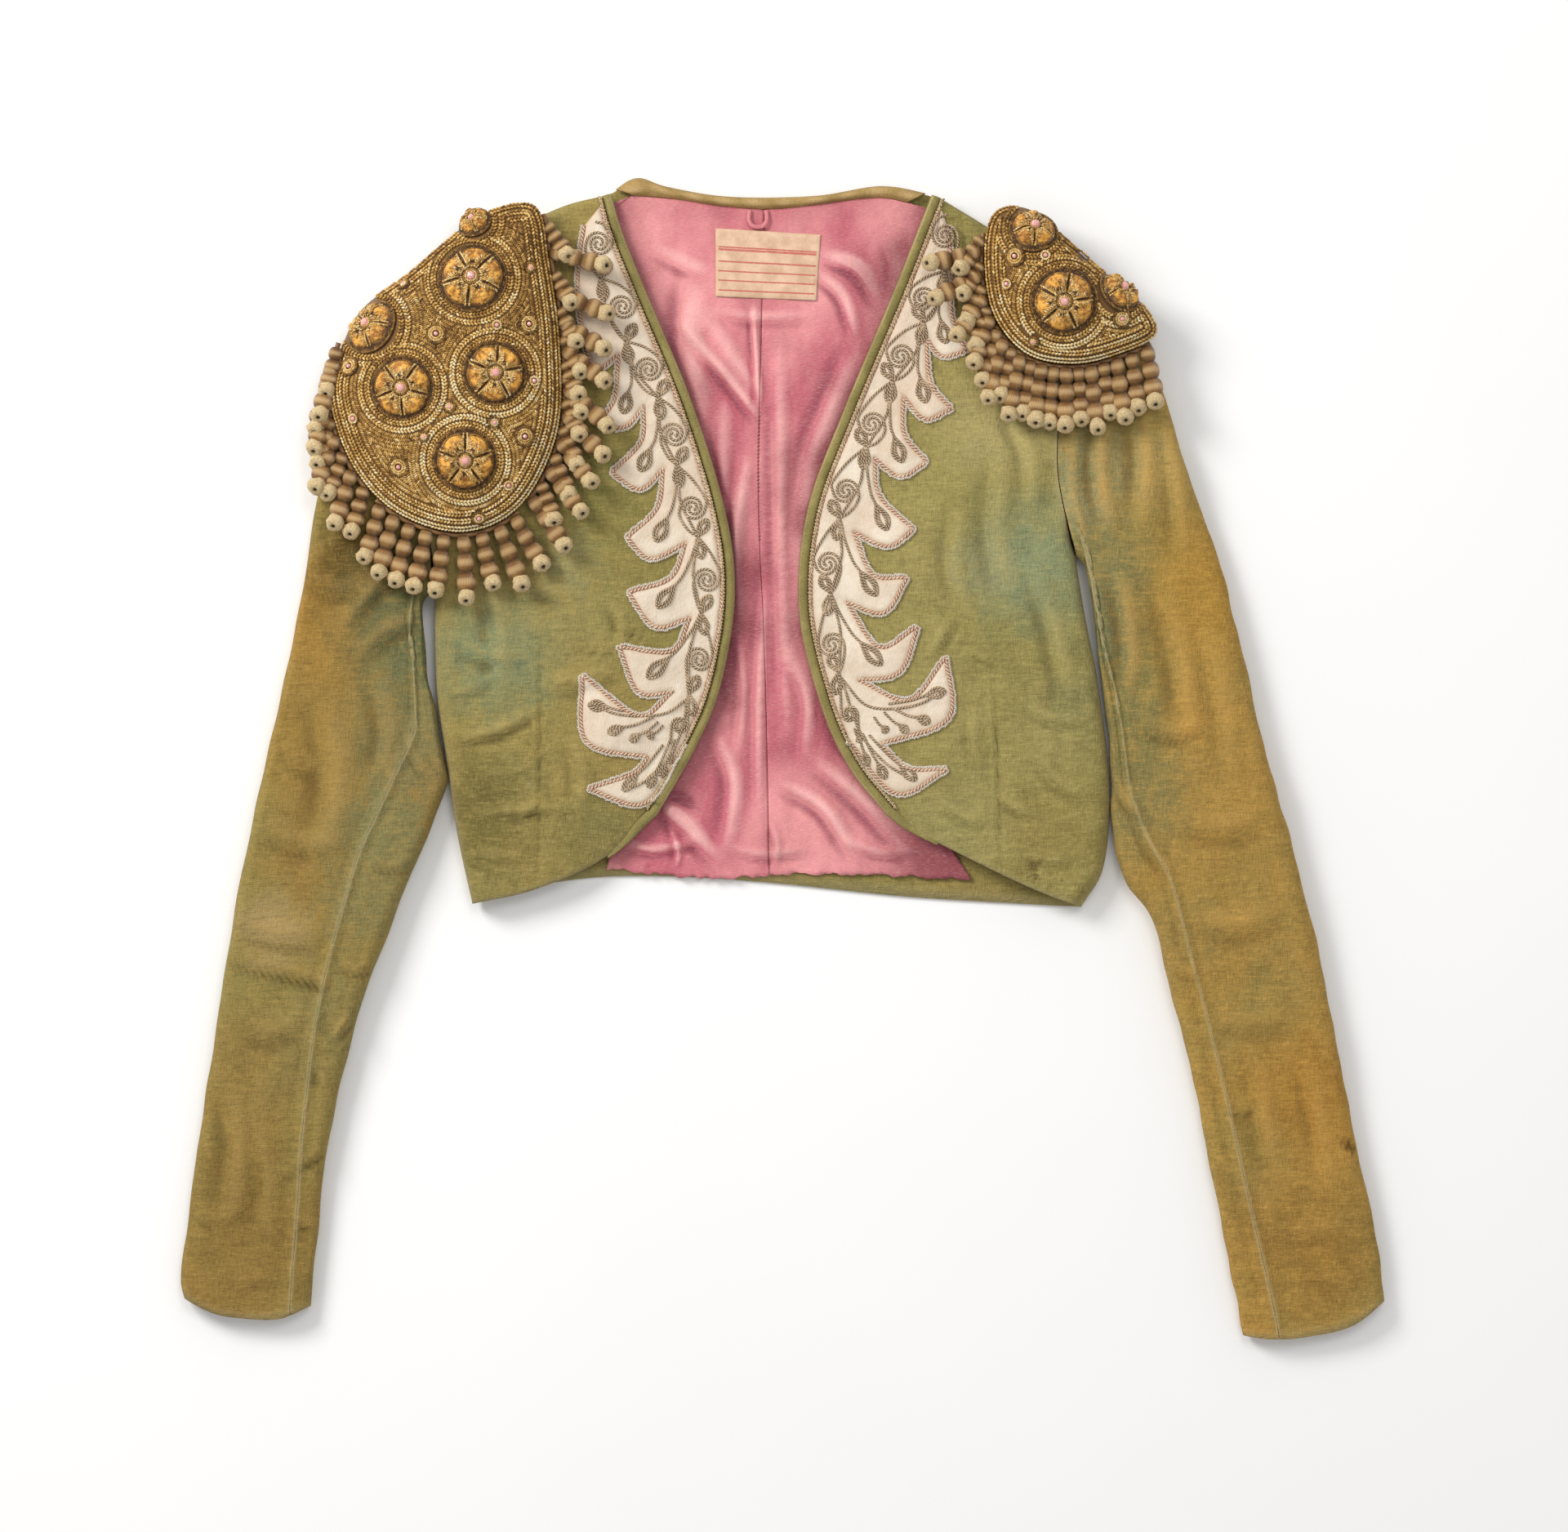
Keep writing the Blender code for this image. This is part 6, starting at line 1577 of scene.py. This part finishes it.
def silk_colour(dye):
    here = dye.place()
    thread = dye.node("Math", {"operation": "SINE"}, {0: dye.note("round") * 150}) * .5 + .5
    barrel_light_and_shade = dye.note("band")
    tone = dye.cloud(here, (110, 110, 110), 3).clear(.38, .64).mix((.28, .13, .04), (.50, .275, .09))
    # Painted highlight across each barrel's middle, from the band note.
    tone = (barrel_light_and_shade.clear(.78, 1.0) * .7).mix(tone, (.92, .63, .30))
    tone = (thread.clear(.4, 1) * .5).mix(tone, (.17, .08, .026))
    # Painted shade towards each barrel's ends, where it meets the next.
    tone = ((1 - barrel_light_and_shade).clear(.35, .9) * .85).mix(tone, (.11, .05, .016))
    tuft = dye.cloud(here, (900, 900, 900), 4, .7).clear(.36, .62).mix((.74, .47, .20), (1, .84, .50))
    # The hole in the tuft's end is painted dark: painted shade in the hole.
    tuft = (dye.note("hole") * .9).mix(tuft, (.16, .09, .035))
    return dye.note("tuft").clear(.3, .7).mix(tone, tuft)


wound_silk = finished("wound_silk", silk_colour, lambda dye: dye.note("tuft") * .55 + .32,
                      lambda dye: dye.node("Math", {"operation": "SINE"}, {0: dye.note("round") * 150}) * .3
                      + dye.cloud(dye.place(), (1500, 1500, 1500), 4, .7) * (dye.note("tuft") + .25), .0007)
# Share of the length, radius in millimetres, painted light of the winding (highlight at each barrel's middle,
# painted shade at its ends), tuft, and hole (painted dark as shade in the tuft's end).
STRAND = [(0, 1.2, 0, 0, 0)]
for start, end, radius in ((.01, .26, 4.9), (.265, .53, 5.8), (.535, .81, 6.6)):
    for step in np.linspace(0, 1, 9):
        swell = math.sin(math.pi * (.09 + .82 * step)) ** .36
        STRAND.append((start + (end - start) * step, radius * swell, math.sin(math.pi * step) ** .8, 0, 0))
STRAND += [(.815, 2.4, 0, 1, 0), (.83, 4.8, 0, 1, 0), (.87, 5.8, 0, 1, 0), (.92, 6.0, 0, 1, 0),
           (.965, 5.5, 0, 1, 0),
           (.995, 4.2, 0, 1, 0), (1.005, 1.7, 0, 1, 0), (.985, .95, 0, 1, 1), (.95, .5, 0, 1, 1)]
STRAND = np.array(STRAND)


def fringe(name, first, last, count, short, long_, hangs, form, draw):
    middle, rim_line, reach, height, seat, state = form
    bearings = np.radians(np.linspace(first, last, count))
    way_round = np.sign(last - first)
    points = []
    faces = []
    notes = {"round": [], "band": [], "tuft": [], "hole": []}
    sides = 12
    turns = np.linspace(0, 2 * np.pi, sides, endpoint=False)

    def ring(turn):
        return middle + (reach(turn) + 2.2 * MM) * np.array([math.cos(turn), math.sin(turn)])

    for order, turn in enumerate(bearings):
        root = ring(turn)
        tangent = ring(turn + .01) - ring(turn - .01)
        out = np.array([tangent[1], -tangent[0]]) / np.linalg.norm(tangent)
        hang = np.interp(order / (count - 1), np.linspace(0, 1, len(hangs)), hangs)
        if name in ("left_neck", "left_front", "right_neck") and order % 2 == 0:
            hang += 1.3
        way = out + (0, -hang)
        way /= np.linalg.norm(way)
        length = (short + (long_ - short) * (order % 2) + 2.5 * math.sin(2.3 * order)) * MM
        start = np.array([*root, CAP_RIM - 1.5 * MM + (order % 2) * 1.5 * MM])
        end = np.array([*(root + way * length), FRINGE_BED + 5.2 * MM + 2.4 * MM * (order % 2)])
        axis = (end - start) / np.linalg.norm(end - start)
        side = np.cross(axis, (0, 0, 1))
        side /= np.linalg.norm(side)
        up = np.cross(side, axis)
        base = len(points)
        sway = draw.uniform(-.8, .8) * MM
        for share, radius, winding_light, tuft, hole in STRAND:
            centre = start + (end - start) * min(share, .83) + side * sway * math.sin(share * 3.1)
            lean = math.radians(48) if tuft else 0
            onward = axis * math.cos(lean) + up * math.sin(lean)
            rising = up * math.cos(lean) - axis * math.sin(lean)
            centre = centre + onward * max(0, share - .83) * 52 * MM
            rough = draw.uniform(.86, 1.14, sides) if tuft and not hole else np.ones(sides)
            for angle, wobble in zip(turns, rough):
                points.append(centre +
                              radius * MM * wobble * (math.cos(angle) * side + math.sin(angle) * rising))
            notes["round"] += (turns / np.pi - 1).tolist()
            notes["band"] += [winding_light] * sides
            notes["tuft"] += [tuft] * sides
            notes["hole"] += [hole] * sides
        index = base + np.arange(len(STRAND) * sides).reshape(len(STRAND), sides)
        after = np.roll(index, -1, axis=1)
        faces += np.stack((index[:-1], after[:-1], after[1:], index[1:]), -1).reshape(-1, 4).tolist()
        faces += [index[0][::-1].tolist(), index[-1].tolist()]
    spread = np.linspace(bearings[0] - .04 * way_round, bearings[-1] + .04 * way_round, 70)
    cord_line = np.array([[*ring(turn), CAP_RIM - 1.6 * MM] for turn in spread])
    cord_points, cord_faces, _ = tube([cord_line], 1.7 * MM, 8)
    faces += [[corner + len(points) for corner in face] for face in cord_faces]
    for label, value in (("round", 0), ("band", .35), ("tuft", 0), ("hole", 0)):
        notes[label] += [value] * len(cord_points)
    piece("fringe_" + name, np.vstack((points, cord_points)), faces, wound_silk, "silk_beads",
          ["fringe_" + name],
          {label: np.abs(values) if label == "round" else values for label, values in notes.items()})


fringe_draw = np.random.default_rng(77)
for row in FRINGES:
    shape = LEFT_CAP if row[0].startswith("left") else RIGHT_CAP
    fringe(*row, cap_form(**shape), fringe_draw)

# Sizes of the solids and of the worked jacket.
size = {"cad": [list(corner) for corner in cad_box], "visual": [list(corner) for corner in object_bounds()]}
